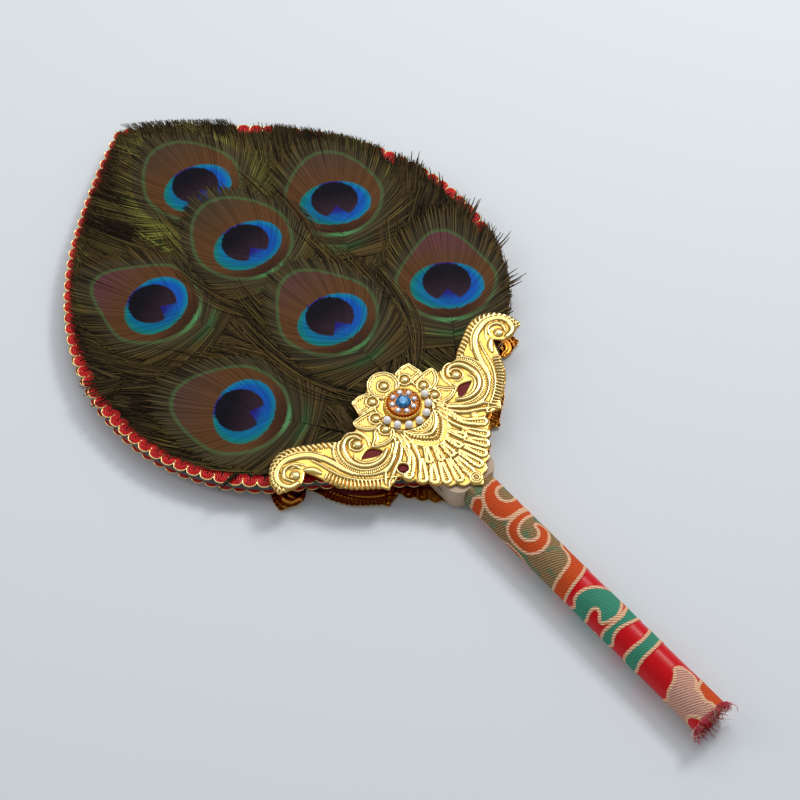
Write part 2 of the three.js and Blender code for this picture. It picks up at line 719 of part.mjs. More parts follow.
// The brocade tube: cut back over the flats for the plates' points, and frayed round the butt
function sleeveGeometry() {
  const top_y = neck_y - side_gap;
  const fray_y = butt_y - fray_length + fray_depth;
  const inner_radius = grip_radius - sleeve_thickness;
  const corner_reach = 1 / Math.cos(Math.PI / handle_sides);
  const wall = [
    { radius: inner_radius, y: top_y, frayed: 0 }, { radius: grip_radius, y: top_y, frayed: 0 },
    { radius: grip_radius, y: fray_y, frayed: fray_depth },
    { radius: inner_radius, y: fray_y, frayed: fray_depth },
  ];
  const positions = [];
  const index = [];
  for (let corner = 0; corner < handle_sides; corner += 1) {
    const angle = ((corner + 0.5) / handle_sides) * Math.PI * 2 - Math.PI / 2;
    wall.forEach(({ radius, y, frayed }, ring) => {
      const reach = radius * corner_reach;
      positions.push(Math.cos(angle) * reach, y + frayShare(corner) * frayed, Math.sin(angle) * reach);
      const next = (corner + 1) % handle_sides;
      const after = (ring + 1) % wall.length;
      const [a, b] = [corner * wall.length + ring, corner * wall.length + after];
      const [c, d] = [next * wall.length + ring, next * wall.length + after];
      index.push(a, c, b, b, c, d);
    });
  }
  return toGeometry(cutFlats(toSolid(outward(positions, index)), cheek_face + side_gap));
}

// The rivet through both plates: a flat head under the cup and a tail set back in the boss
function rivetGeometry() {
  const tail_face = side_gap - rest_height;
  const tail_base = tail_face + rivet_head_height;
  const head_base = plate_face + seat_gap;
  const head_face = plate_face + rivet_head_height;
  return turned([
    [0, tail_face], [rivet_head_radius, tail_face], [rivet_head_radius, tail_base],
    [rivet_shank_radius, tail_base], [rivet_shank_radius, head_base],
    [rivet_head_radius, head_base], [rivet_head_radius, head_face], [0, head_face],
  ], rivet_sides, 0, -rosette_drop);
}

function addHandle() {
  addPiece("handle_core", "wood", handleCore());
  addPiece("brocade_sleeve", "brocade", sleeveGeometry());
  addPiece("centre_rivet", "gilt", rivetGeometry());
}

// Rosette

// A cut stone: a cone below, a thin girdle, a bevelled crown and a flat table
function stoneProfile(radius, depth, base) {
  const girdle = base + depth * stone_pavilion_share;
  return [
    [0, base], [radius, girdle], [radius, girdle + depth * stone_girdle_share],
    [radius * stone_table_share, base + depth], [0, base + depth],
  ];
}

// A pearl: a round bead ground flat where it is seated
function pearlProfile(radius, base) {
  const seat_angle = THREE.MathUtils.degToRad(-pearl_seat_degrees);
  const middle = base - Math.sin(seat_angle) * radius;
  const profile = [[0, base]];
  for (let step = 0; step < pearl_steps; step += 1) {
    const angle = THREE.MathUtils.lerp(seat_angle, Math.PI / 2, step / pearl_steps);
    profile.push([Math.cos(angle) * radius, middle + Math.sin(angle) * radius]);
  }
  return [...profile, [0, middle + radius]];
}

function addCup(seat, floor) {
  const rivet_room = rivet_head_radius + side_gap;
  const half_wall = cup_wall / 2;
  const rim = seat + cup_height;
  addPiece("rosette_cup", "enamel", turned([
    [rivet_room, seat], [cup_radius - half_wall, seat], [cup_radius, rim - half_wall],
    [cup_radius - half_wall, rim], [cup_inner_radius, rim - half_wall],
    [cup_inner_radius - cup_wall, floor + half_wall], [rivet_room + cup_wall, floor],
    [rivet_room, floor], [rivet_room, seat],
  ], cup_sides, 0, -rosette_drop));
}

// The setting stands on the cup's floor, holds the blue stone and carries the ring of small stones
function addStones(base) {
  const y = -rosette_drop;
  const face = base + setting_height;
  const stone_base = base + setting_height / 2;
  addPiece("stone_setting", "gilt", turned([
    [0, base], [rivet_head_radius + side_gap + cup_wall, base], [setting_radius, face - cup_wall],
    [setting_radius, face - cup_wall / 2], [stone_seat_radius, face],
    [stone_seat_radius, stone_base + stone_depth / 2], [0, stone_base],
  ], cup_sides, 0, y));
  const blue = stoneProfile(stone_radius, stone_depth, stone_base + side_gap);
  addPiece("blue_stone", "stone", turned(blue, stone_sides, 0, y));
  const circle = (setting_radius + stone_seat_radius) / 2;
  const small = stoneProfile(small_stone_radius, small_stone_radius, face + seat_gap);
  for (let stone = 0; stone < small_stones; stone += 1) {
    const angle = ((stone + 0.5) / small_stones) * Math.PI * 2;
    const [stone_x, stone_y] = [Math.cos(angle) * circle, y + Math.sin(angle) * circle];
    addPiece(`small_stone_${stone + 1}`, "crystal", turned(small, small_stone_sides, stone_x, stone_y));
  }
}

// The pearls hang in a half circle below the cup, evenly spaced by a named gap
function addPearls(seat) {
  const circle = cup_radius + pearl_cup_gap + pearl_radius;
  const spacing = 2 * Math.asin((pearl_radius + pearl_gap / 2) / circle);
  const profile = pearlProfile(pearl_radius, seat);
  for (let pearl = 0; pearl < pearls; pearl += 1) {
    const angle = -Math.PI / 2 + (pearl - (pearls - 1) / 2) * spacing;
    const [pearl_x, pearl_y] = [Math.cos(angle) * circle, -rosette_drop + Math.sin(angle) * circle];
    addPiece(`pearl_${pearl + 1}`, "pearl", turned(profile, pearl_sides, pearl_x, pearl_y));
  }
}

function addRosette() {
  const seat = plate_face + seat_gap;
  const floor = plate_face + rivet_head_height + seat_gap * 2;
  addCup(seat, floor);
  addStones(floor + seat_gap);
  addPearls(seat);
}

addBlade();
addFeathers();
addPlates();
addHandle();
addRosette();

// The fan lies on its back plate and grip, with the origin below the middle of its box
const reach = new THREE.Box3().setFromObject(fan);
fan.position.set(-(reach.min.x + reach.max.x) / 2, -(reach.min.y + reach.max.y) / 2, rest_height);

const model = new THREE.Group();
model.add(fan);

export default model;
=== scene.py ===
# %% [markdown]
# # A feather fan, dressed around its frame
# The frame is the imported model: every piece at its real size and place. This notebook gives each piece its
# looks, in the order in which a maker would work: the edge, the loose barbs, the eye feathers, the stamped
# plates, the rosette, and last the handle.

# %% Load the frame
import math

import bmesh
import bpy
import numpy as np
from mathutils import Matrix, Vector


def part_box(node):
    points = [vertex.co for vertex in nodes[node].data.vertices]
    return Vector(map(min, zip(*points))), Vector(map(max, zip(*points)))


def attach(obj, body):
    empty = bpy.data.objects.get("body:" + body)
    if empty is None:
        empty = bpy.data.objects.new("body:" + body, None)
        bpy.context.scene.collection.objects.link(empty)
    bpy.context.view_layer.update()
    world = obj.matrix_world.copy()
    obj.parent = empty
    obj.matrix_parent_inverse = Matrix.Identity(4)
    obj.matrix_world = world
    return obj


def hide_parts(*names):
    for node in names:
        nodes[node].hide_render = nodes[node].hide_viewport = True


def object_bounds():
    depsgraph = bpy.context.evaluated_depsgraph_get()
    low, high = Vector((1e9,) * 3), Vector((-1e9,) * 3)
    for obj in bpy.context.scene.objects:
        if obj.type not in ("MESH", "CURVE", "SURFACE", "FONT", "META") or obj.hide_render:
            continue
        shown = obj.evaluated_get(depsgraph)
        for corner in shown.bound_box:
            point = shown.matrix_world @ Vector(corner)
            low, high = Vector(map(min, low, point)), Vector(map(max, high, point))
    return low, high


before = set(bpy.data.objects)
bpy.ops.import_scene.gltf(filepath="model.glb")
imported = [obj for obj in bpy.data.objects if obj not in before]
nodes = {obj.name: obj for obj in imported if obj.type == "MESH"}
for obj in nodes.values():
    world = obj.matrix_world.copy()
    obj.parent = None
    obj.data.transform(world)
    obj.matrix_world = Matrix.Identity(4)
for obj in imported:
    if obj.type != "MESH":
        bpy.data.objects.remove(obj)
frame_box = [list(corner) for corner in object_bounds()]
mm = 0.001
print("pieces in the frame:", len(nodes))

# %% [markdown]
# The fan lies flat, so places on it are easiest to read as millimetres across, along and up. They are
# counted from a datum: on the blade's middle plane, below the rosette, where the plate is widest. The frame
# gives the datum: the cup's middle stands 3.5 mm below it, and the board's middle is the middle plane.

# %% Find the datum in the frame
rosette_drop = 3.5
cup_low, cup_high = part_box("rosette_cup")
board_low, board_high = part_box("core_board")
datum = np.array([
    (cup_low[0] + cup_high[0]) / 2,
    (cup_low[1] + cup_high[1]) / 2 + rosette_drop * mm,
    (board_low[2] + board_high[2]) / 2,
])


def to_metres(points):
    """Turns points in millimetres from the datum into places in the frame."""
    return np.asarray(points, dtype=float) * mm + datum


def height_of(node, end):
    """How far the lowest (0) or highest (1) corner of a node is above the middle plane, in millimetres."""
    return (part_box(node)[end][2] - datum[2]) / mm


def half_width_of(node):
    """Half of a node's width across the fan, in millimetres."""
    low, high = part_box(node)
    return (high[0] - low[0]) / 2 / mm


def middle_of(node):
    """Where the middle of a node lies on the fan, in millimetres from the datum."""
    low, high = (np.array(corner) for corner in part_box(node))
    return ((low + high) / 2 - datum)[:2] / mm


def turn_over(made):
    """Turns a finished mesh over about the fan's length, onto the back face."""
    there = Matrix.Translation(Vector(datum))
    made.data.transform(there @ Matrix.Rotation(math.pi, 4, "Y") @ there.inverted())
    return made


print("datum:", [round(value / mm, 2) for value in datum], "mm")

# %% [markdown]
# ## Camera, floor and light
# The photograph looks down on the fan at 56 degrees from the handle's side. The camera stands where the
# photograph's camera stood, with the same lens.

# %% Set the camera
camera_data = bpy.data.cameras.new("camera")
camera_data.lens = 78.75
camera_data.sensor_width = 36
camera_data.clip_start = 0.05
camera = bpy.data.objects.new("camera", camera_data)
camera.location = (-0.2910, -0.3583, 0.6896)
view_line = Vector((0.3600, 0.4260, -0.8300))
camera.rotation_euler = view_line.to_track_quat("-Z", "Y").to_euler()
bpy.context.collection.objects.link(camera)
bpy.context.scene.camera = camera
bpy.context.scene.view_settings.view_transform = "Standard"

# %% [markdown]
# Materials and repeated shapes are both trees of nodes. One small function adds a node with its settings and
# what feeds it, so a tree reads from top to bottom. Colours are written as sRGB hex values and turned to
# linear ones. The scale of a pattern is how many of its threads, grains or flecks lie in a millimetre.

# %% Helpers for node trees and colours
per_mm = 1 / mm
smoothly = {"interpolation_type": "SMOOTHSTEP"}
in_colour = {"data_type": "RGBA"}


def paint(code):
    """A colour from its sRGB hex value, as the linear values that nodes hold."""
    values = [int(code[start:start + 2], 16) / 255 for start in (1, 3, 5)]
    linear = [value / 12.92 if value <= 0.04045 else ((value + 0.055) / 1.055) ** 2.4 for value in values]
    return (*linear, 1)


def wire(tree, node, inputs):
    """Sets or links a node's inputs, given by name, or as a tuple in the order in which the node shows them.

    Each is a value, a hex colour, a socket, a node, which stands for its first output, or a list of them."""
    if isinstance(inputs, tuple):
        shown = [socket for socket in node.inputs if socket.enabled]
        pairs = list(zip(shown, inputs))
    else:
        pairs = [(node.inputs[name], given) for name, given in inputs.items()]
    for socket, given in pairs:
        for value in given if isinstance(given, list) else [given]:
            if isinstance(value, bpy.types.Node):
                value = next(output for output in value.outputs if output.enabled)
            if isinstance(value, bpy.types.NodeSocket):
                tree.links.new(value, socket)
            else:
                is_colour = isinstance(value, str) and value.startswith("#")
                socket.default_value = paint(value) if is_colour else value


def add_node(tree, kind, inputs=(), **settings):
    """Adds a node, sets its properties, and wires its inputs."""
    node = tree.nodes.new(kind)
    for name, value in settings.items():
        setattr(node, name, value)
    wire(tree, node, inputs)
    return node


def new_material(name, **values):
    """A material with one Principled shader. Values are the shader's inputs, with _ for a space."""
    material = bpy.data.materials.new(name)
    material.use_nodes = True
    tree = material.node_tree
    shader = tree.nodes["Principled BSDF"]
    wire(tree, shader, {key.replace("_", " "): value for key, value in values.items()})
    return material, tree, shader


def fade(tree, value, low, high, first, second):
    """A colour that turns from the first into the second while a value goes from low to high."""
    share = add_node(tree, "ShaderNodeMapRange", (value, low, high), **smoothly)
    return add_node(tree, "ShaderNodeMix", (share, first, second), **in_colour)


# %% [markdown]
# The floor and the lamps are only for the picture. The floor is board with matt paint, so plain that nothing
# else draws the eye. The key lamp is small, for glints on the metal, and the other two are wide and soft.

# %% Lay the floor and hang the lamps
floor_material = new_material(
    "painted studio floor", Base_Color="#dfe3e6", Roughness=0.75, Specular_IOR_Level=0.2)[0]
floor_size = 6.0
bpy.ops.mesh.primitive_plane_add(size=floor_size)
floor = bpy.context.object
floor.name = "studio_floor"
floor.data.materials.append(floor_material)

lamps = [
    ("key_lamp", (0.95, 0.15, 1.1), (0.35, 0.35), 8.0),
    ("top_panel", (0.5, 0.6, 1.2), (1.0, 0.8), 5.5),
    ("side_lamp", (-0.8, 0.8, 0.8), (0.4, 0.9), 2.5),
]
for name, place, size, power in lamps:
    data = bpy.data.lights.new(name, "AREA")
    data.shape = "RECTANGLE"
    data.size, data.size_y = size
    data.energy = power
    lamp = bpy.data.objects.new(name, data)
    lamp.location = place
    lamp.rotation_euler = (-Vector(place)).to_track_quat("-Z", "Y").to_euler()
    bpy.context.collection.objects.link(lamp)
    print(name, "of", power, "W, turned to the fan's middle")
world = bpy.data.worlds.new("studio")
world.use_nodes = True
wire(world.node_tree, world.node_tree.nodes["Background"], {"Color": "#e8eef4", "Strength": 0.42})
bpy.context.scene.world = world

# %% [markdown]
# ## How cords, ribbons and barbs are made
# Most of this fan is thin things that follow lines: barbs, quills, cords and threads. Each could be a
# curve object, but there are thousands. So the lines are laid out as bare edges, with their width and
# their marks kept on every point, and one tree of Geometry Nodes sweeps a section along all of them.

# %% Lay out lines as a mesh of edges
def new_mesh_object(name, vertices, edges=(), faces=()):
    mesh = bpy.data.meshes.new(name)
    mesh.from_pydata([tuple(vertex) for vertex in vertices], list(edges), [tuple(face) for face in faces])
    mesh.update()
    made = bpy.data.objects.new(name, mesh)
    bpy.context.collection.objects.link(made)
    return made


def write_values(mesh, name, values):
    """Keeps one number or one vector for every point of a mesh."""
    values = np.asarray(values, dtype=np.float32)
    kind = "FLOAT" if values.ndim == 1 else "FLOAT_VECTOR"
    attribute = mesh.attributes.new(name, kind, "POINT")
    attribute.data.foreach_set("value" if kind == "FLOAT" else "vector", values.ravel())


class Lines:
    """Lines of points in millimetres, each point with a half width and a few named marks."""

    def __init__(self, *marks):
        self.points = []
        self.widths = []
        self.marks = {mark: [] for mark in marks}

    def add(self, points, widths, **marks):
        points = np.asarray(points, dtype=float)
        self.points.append(points)
        self.widths.append(np.broadcast_to(widths, len(points)))
        for mark, kept in self.marks.items():
            value = np.asarray(marks[mark], dtype=float)
            shape = (len(points),) if value.ndim < 2 else value.shape
            kept.append(np.broadcast_to(value, shape))

    def to_object(self, name):
        """One mesh of bare edges. The edge from the end of each line to the next line's start is left out."""
        points = np.concatenate(self.points)
        line_ends = np.cumsum([len(line) for line in self.points])[:-1] - 1
        index = np.delete(np.arange(len(points) - 1), line_ends)
        edges = np.stack([index, index + 1], axis=1)
        made = new_mesh_object(name, to_metres(points), edges.tolist())
        write_values(made.data, "half_width", np.concatenate(self.widths) * mm)
        for mark, kept in self.marks.items():
            write_values(made.data, mark, np.concatenate(kept))
        return made


# %% Helpers for Geometry Nodes
def new_tree(name, **inputs):
    """An empty tree that takes geometry and the named inputs, with its input sockets and its last node."""
    tree = bpy.data.node_groups.new(name, "GeometryNodeTree")
    for label, kind in {"Geometry": "Geometry", **inputs}.items():
        tree.interface.new_socket(label, in_out="INPUT", socket_type=f"NodeSocket{kind}")
    tree.interface.new_socket("Geometry", in_out="OUTPUT", socket_type="NodeSocketGeometry")
    return tree, tree.nodes.new("NodeGroupInput").outputs, tree.nodes.new("NodeGroupOutput")


def run_tree(made, tree, **inputs):
    """Runs a tree on an object and leaves its result as a plain mesh."""
    modifier = made.modifiers.new(tree.name, "NODES")
    modifier.node_group = tree
    sockets = {item.name: item.identifier for item in tree.interface.items_tree if item.in_out == "INPUT"}
    for name, value in inputs.items():
        modifier[sockets[name]] = value
    depsgraph = bpy.context.evaluated_depsgraph_get()
    result = bpy.data.meshes.new_from_object(made.evaluated_get(depsgraph))
    made.modifiers.remove(modifier)
    old = made.data
    made.data = result
    bpy.data.meshes.remove(old)
    result.name = made.name
    return made


# %% Sweep a section along every line
def sweep_tree(name, section, closed):
    """A tree that turns edges into strips or cords. The section's points are in half widths."""
    tree, start, end = new_tree(name, Material="Material")
    corners = [(across, -up, 0) for across, up in section]
    sides = [
        add_node(tree, "GeometryNodeCurvePrimitiveLine", (here, there))
        for here, there in zip(corners, corners[1:] + corners[:1] if closed else corners[1:])]
    joined = add_node(tree, "GeometryNodeJoinGeometry", {"Geometry": sides})
    merged = add_node(tree, "GeometryNodeCurveToMesh", {"Curve": joined})
    welded = add_node(tree, "GeometryNodeMergeByDistance", {"Geometry": merged})
    outline = add_node(tree, "GeometryNodeMeshToCurve", {"Mesh": welded})
    across = add_node(tree, "ShaderNodeSeparateXYZ", (add_node(tree, "GeometryNodeInputPosition"),))
    marked = add_node(tree, "GeometryNodeStoreNamedAttribute", {
        "Geometry": outline, "Name": "across", "Value": across}, data_type="FLOAT", domain="POINT")
    lines = add_node(tree, "GeometryNodeMeshToCurve", {"Mesh": start["Geometry"]})
    upright = add_node(tree, "GeometryNodeSetCurveNormal", {"Curve": lines}, mode="Z_UP")
    width = add_node(tree, "GeometryNodeInputNamedAttribute", {"Name": "half_width"}, data_type="FLOAT")
    swept = add_node(tree, "GeometryNodeCurveToMesh", {
        "Curve": upright, "Profile Curve": marked, "Scale": width, "Fill Caps": closed})
    real = add_node(tree, "GeometryNodeRealizeInstances", {"Geometry": swept})
    coated = add_node(tree, "GeometryNodeSetMaterial", {"Geometry": real, "Material": start["Material"]})
    wire(tree, end, {"Geometry": coated})
    return tree


roof_height = 0.12
strip = sweep_tree("strip", [(-1, -roof_height), (0, roof_height), (1, -roof_height)], closed=False)
cord = sweep_tree("cord", [
    (-1, 0), (-0.5, 0.87), (0.5, 0.87), (1, 0), (0.5, -0.87), (-0.5, -0.87)], closed=True)
print("nodes that sweep a strip:", len(strip.nodes))

# %% [markdown]
# ## The blade's outline
# The edge of the blade is one smooth leaf. A few points, as shares of its half width and its reach, carry a
# smooth curve, and everything round the edge is set in from that curve by its own distance.

# %% Draw the blade's edge
def run_along(line):
    """How far along a line each of its points lies."""
    return np.concatenate([[0], np.cumsum(np.linalg.norm(np.diff(line, axis=0), axis=1))])


def evenly(line, count):
    """The same line with evenly spaced points."""
    line = np.asarray(line, dtype=float)
    run = run_along(line)
    places = np.linspace(0, run[-1], count + 1)
    return np.stack([np.interp(places, run, line[:, axis]) for axis in range(line.shape[1])], axis=1)


def smooth_line(points, count):
    """Evenly spaced points along a smooth curve through the given points."""
    points = np.asarray(points, dtype=float)
    padded = np.concatenate([points[:1], points, points[-1:]])
    share = np.linspace(0, 1, 24, endpoint=False)[:, None]
    fine = []
    for before, first, second, after in zip(padded, padded[1:], padded[2:], padded[3:]):
        leave, arrive = (second - before) / 2, (after - first) / 2
        cubic = 2 * first - 2 * second + leave + arrive
        square = -3 * first + 3 * second - 2 * leave - arrive
        fine.append(cubic * share ** 3 + square * share ** 2 + leave * share + first)
    return evenly(np.concatenate([*fine, points[-1:]]), count)


def side_of(line):
    """Unit vectors square to a flat line, to the right of its run."""
    along = np.gradient(line[:, :2], axis=0)
    along /= np.linalg.norm(along, axis=1, keepdims=True)
    return np.stack([along[:, 1], -along[:, 0]], axis=1)


def circle(angles, radius, middle=(0, 0)):
    return np.column_stack([np.cos(angles), np.sin(angles)]) * radius + middle


blade_half = half_width_of("front_braid")
blade_reach = (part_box("front_braid")[1][1] - datum[1]) / mm
head_half = half_width_of("handle_core")
neck_gap = 0.3
braid_width = 4.8
neck = (head_half + neck_gap + braid_width, (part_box("front_braid")[0][1] - datum[1]) / mm)
edge_shares = [
    (0, 1), (0.278, 0.907), (0.631, 0.759), (0.863, 0.608), (0.974, 0.465), (1, 0.346),
    (0.963, 0.224), (0.855, 0.114), (0.7, 0.0285), (0.482, -0.044),
]


def blade_edge(inset, count):
    """The whole edge set in by a distance, from the left of the neck over the tip to the right."""
    right = smooth_line([*(np.array(edge_shares) * [blade_half, blade_reach]), neck], count)
    moved = right + side_of(right) * inset
    lead = (right[1] - right[0]) / np.linalg.norm(right[1] - right[0])
    moved[0] = (0, right[0][1] - inset / lead[0])
    return np.concatenate([(moved * [-1, 1])[::-1], moved[1:]])


print("blade:", round(blade_half * 2, 1), "mm wide, reaching", round(blade_reach, 1), "mm")

# %% Helpers for closed skins and finished pieces
def face_outwards(made):
    shape = bmesh.new()
    shape.from_mesh(made.data)
    bmesh.ops.recalc_face_normals(shape, faces=shape.faces)
    shape.to_mesh(made.data)
    shape.free()


def skin(name, rails):
    """A closed skin over rails that run side by side round a section."""
    rails = np.asarray(rails, dtype=float)
    around, steps = rails.shape[:2]
    index = np.arange(around * steps).reshape(around, steps)
    faces = []
    for side in range(around):
        here, there = index[side], index[(side + 1) % around]
        faces.extend(np.stack([here[:-1], there[:-1], there[1:], here[1:]], axis=1).tolist())
    faces.append(index[:, 0][::-1].tolist())
    faces.append(index[:, -1].tolist())
    made = new_mesh_object(name, to_metres(rails.reshape(-1, 3)), faces=faces)
    face_outwards(made)
    return made


def finish_piece(made, slot, *replaced, over=False, smooth=True):
    """Hands a finished piece to the frame, turned over first where it belongs to the back."""
    if over:
        turn_over(made)
    if smooth:
        made.data.shade_smooth()
    else:
        made.data.shade_flat()
    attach(made, "root")
    if replaced:
        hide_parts(*replaced)
    print(made.name, "triangles:", sum(len(face.vertices) - 2 for face in made.data.polygons))
    return made


# %% [markdown]
# ## The ribbon round the edge
# A dark ribbon is folded over the board's edge and shows between the two braids. It is petersham, woven
# with thick ribs across it, so the eye sees matt cloth, finely ridged, with a little soft sheen. The ribs
# could be modelled, but they are far finer than the ribbon is wide, so they are left to the material.

# %% Weave the ribbon's material
rib_pitch = 0.8
rib_depth = 0.1
ribbon_material, tree, shader = new_material("petersham ribbon", Roughness=0.8, Sheen_Weight=0.25)
run = add_node(tree, "ShaderNodeAttribute", attribute_name="run").outputs["Fac"]
ribs = add_node(tree, "ShaderNodeMath", (run, 2 * math.pi / rib_pitch), operation="MULTIPLY")
wave = add_node(tree, "ShaderNodeMath", (ribs,), operation="SINE")
place = add_node(tree, "ShaderNodeTexCoord").outputs["Object"]
worn = add_node(tree, "ShaderNodeTexNoise", {"Vector": place, "Scale": 0.4 * per_mm})
bump = add_node(tree, "ShaderNodeBump", {"Height": wave, "Strength": 0.5, "Distance": rib_depth * mm})
wire(tree, shader, {"Base Color": fade(tree, worn, 0.35, 0.65, "#252b2b", "#3f4846"), "Normal": bump})
print("ribs of the ribbon:", rib_pitch, "mm apart")

# %% Bind the edge with ribbon
binding_face = height_of("edge_binding", 1)
binding_inside = binding_face - 0.45
binding_outer = 1.25
binding_lip = 4.85
binding_section = [
    (binding_lip, binding_face), (3.0, binding_face), (1.6, binding_face), (1.33, 1.5), (binding_outer, 1.1),
    (binding_outer, -1.1), (1.33, -1.5), (1.6, -binding_face), (3.0, -binding_face),
    (binding_lip, -binding_face), (binding_lip, -binding_inside), (1.7, -binding_inside),
    (1.7, binding_inside), (binding_lip, binding_inside),
]
edge_steps = 150
rails = []
for inset, height in binding_section:
    line = blade_edge(inset, edge_steps)
    rails.append(np.column_stack([line, np.full(len(line), height)]))
binding = skin("bound_ribbon", rails)
length_run = run_along(blade_edge(0, edge_steps))
write_values(binding.data, "run", np.tile(length_run, len(binding_section)))
binding.data.materials.append(ribbon_material)
finish_piece(binding, "ribbon", "edge_binding")

# %% [markdown]
# ## The looped braid
# The braid is a scroll gimp: satin cords laid side by side that snake to and fro along the edge, with one
# gold cord on the outside of every loop. It follows a rule, so Geometry Nodes make it: the edge's curve
# swings from side to side with a sine, and each cord is that curve moved a little to one side.

# %% Build the braid's tree
def braid_tree(name, cords):
    """Cords is a list of (side offset, lift, radius, material), in millimetres from the snaking middle."""
    tree, start, end = new_tree(name, Pitch="Float", Swing="Float", Lean="Float", Step="Float")
    edge = add_node(tree, "GeometryNodeMeshToCurve", {"Mesh": start["Geometry"]})
    fine = add_node(
        tree, "GeometryNodeResampleCurve", {"Curve": edge, "Length": start["Step"]}, mode="LENGTH")
    run = add_node(tree, "GeometryNodeSplineParameter").outputs["Length"]
    loops = add_node(tree, "ShaderNodeMath", (run, start["Pitch"]), operation="DIVIDE")
    turn = add_node(tree, "ShaderNodeMath", (loops, 2 * math.pi), operation="MULTIPLY")
    double_turn = add_node(tree, "ShaderNodeMath", (turn, 2), operation="MULTIPLY")
    moves = []
    for direction, angle, size in (("Normal", turn, "Swing"), ("Tangent", double_turn, "Lean")):
        wave = add_node(tree, "ShaderNodeMath", (angle,), operation="SINE")
        reach = add_node(tree, "ShaderNodeMath", (wave, start[size]), operation="MULTIPLY")
        way = add_node(tree, f"GeometryNodeInput{direction}")
        moves.append(add_node(tree, "ShaderNodeVectorMath", (way, reach), operation="SCALE"))
    offset = add_node(tree, "ShaderNodeVectorMath", tuple(moves), operation="ADD")
    flat = add_node(tree, "GeometryNodeSetCurveNormal", {"Curve": fine}, mode="Z_UP")
    snake = add_node(tree, "GeometryNodeSetPosition", {"Geometry": flat, "Offset": offset})
    level = add_node(tree, "GeometryNodeSetCurveNormal", {"Curve": snake}, mode="Z_UP")
    coated = []
    for side, lift, radius, material in cords:
        normal = add_node(tree, "GeometryNodeInputNormal")
        aside = add_node(tree, "ShaderNodeVectorMath", (normal, side * mm), operation="SCALE")
        shift = add_node(tree, "ShaderNodeVectorMath", (aside, (0, 0, lift * mm)), operation="ADD")
        moved = add_node(tree, "GeometryNodeSetPosition", {"Geometry": level, "Offset": shift})
        ring = add_node(tree, "GeometryNodeCurvePrimitiveCircle", {"Resolution": 6, "Radius": radius * mm})
        swept = add_node(tree, "GeometryNodeCurveToMesh", {
            "Curve": moved, "Profile Curve": ring, "Fill Caps": True})
        coated.append(add_node(tree, "GeometryNodeSetMaterial", {"Geometry": swept, "Material": material}))
    joined = add_node(tree, "GeometryNodeJoinGeometry", {"Geometry": coated})
    real = add_node(tree, "GeometryNodeRealizeInstances", {"Geometry": joined})
    wire(tree, end, {"Geometry": real})
    return tree


# %% [markdown]
# The red cords are twisted viscose satin: fairly glossy, and painted lighter and darker along their length,
# as painted highlight and shade where the twist catches the light. The gold cord is fine metal foil wound
# round a core, so it shines as bare metal does, broken up by its turns. Real turns are finer than the
# picture shows, so they are drawn coarser.

# %% Make the braid's materials
satin_material, tree, shader = new_material("red satin cord", Roughness=0.36, Specular_IOR_Level=0.4)
place = add_node(tree, "ShaderNodeTexCoord").outputs["Object"]
twist_light = add_node(tree, "ShaderNodeTexNoise", {"Vector": place, "Scale": 0.9 * per_mm, "Detail": 1.0})
# Painted highlight and shade along the cords, where the twist would catch the light
wire(tree, shader, {"Base Color": fade(tree, twist_light, 0.3, 0.7, "#ac0307", "#f01510")})

gold_cord_material, tree, shader = new_material(
    "gold wound cord", Base_Color="#f2d48c", Metallic=1.0, Roughness=0.22)
place = add_node(tree, "ShaderNodeTexCoord").outputs["Object"]
turns = add_node(tree, "ShaderNodeTexNoise", {"Vector": place, "Scale": 1.5 * per_mm})
bump = add_node(tree, "ShaderNodeBump", {"Height": turns, "Strength": 0.3, "Distance": 0.05 * mm})
wire(tree, shader, {"Normal": bump})

# %% Lay a braid on each face
satin_radius, gold_radius = 0.43, 0.27
braid_cords = [
    (0.94, 0.0, satin_radius, satin_material), (0.0, 0.06, satin_radius, satin_material),
    (-0.94, 0.0, satin_radius, satin_material), (-1.6, 0.04, gold_radius, gold_cord_material),
]
braid_inset = 3.85
back_shift = 0.3
braid_middle = height_of("front_braid", 0) + 0.55
braid_sizes = {"Pitch": 6.6 * mm, "Swing": 1.95 * mm, "Lean": -0.7 * mm, "Step": 0.33 * mm}
braid = braid_tree("scroll gimp", braid_cords)
for face, over in (("front", False), ("back", True)):
    edge = blade_edge(braid_inset - (back_shift if over else 0), edge_steps)
    line = Lines()
    line.add(np.column_stack([edge, np.full(len(edge), braid_middle)]), 1.0)
    piece = run_tree(line.to_object(f"{face}_gimp_braid"), braid, **braid_sizes)
    finish_piece(piece, "braid", f"{face}_braid", over=over)

# %% [markdown]
# ## Feather materials
# A peacock's barb carries fine barbules whose layers shine green, bronze and blue. The colour belongs to the
# place on the feather, so every point of an eye feather's barb knows how far across and along it lies from
# the middle of the eye, in millimetres, and the material paints the zones from that. Every barb is keratin,
# hardly glossy, with its own brightness, and its two sides are painted darker, as painted shade between
# neighbouring barbs, so the eye sees fine lines and not a painted oval.

# %% Helpers for feather materials
def eye_distance(tree, across, along, middle, size):
    """1 on the rim of an oval zone, less inside. Its middle and half widths are in millimetres."""
    left = add_node(tree, "ShaderNodeMath", (across, size[0]), operation="DIVIDE")
    lifted = add_node(tree, "ShaderNodeMath", (along, middle), operation="SUBTRACT")
    up = add_node(tree, "ShaderNodeMath", (lifted, size[1]), operation="DIVIDE")
    place = add_node(tree, "ShaderNodeCombineXYZ", (left, up))
    return add_node(tree, "ShaderNodeVectorMath", (place,), operation="LENGTH")


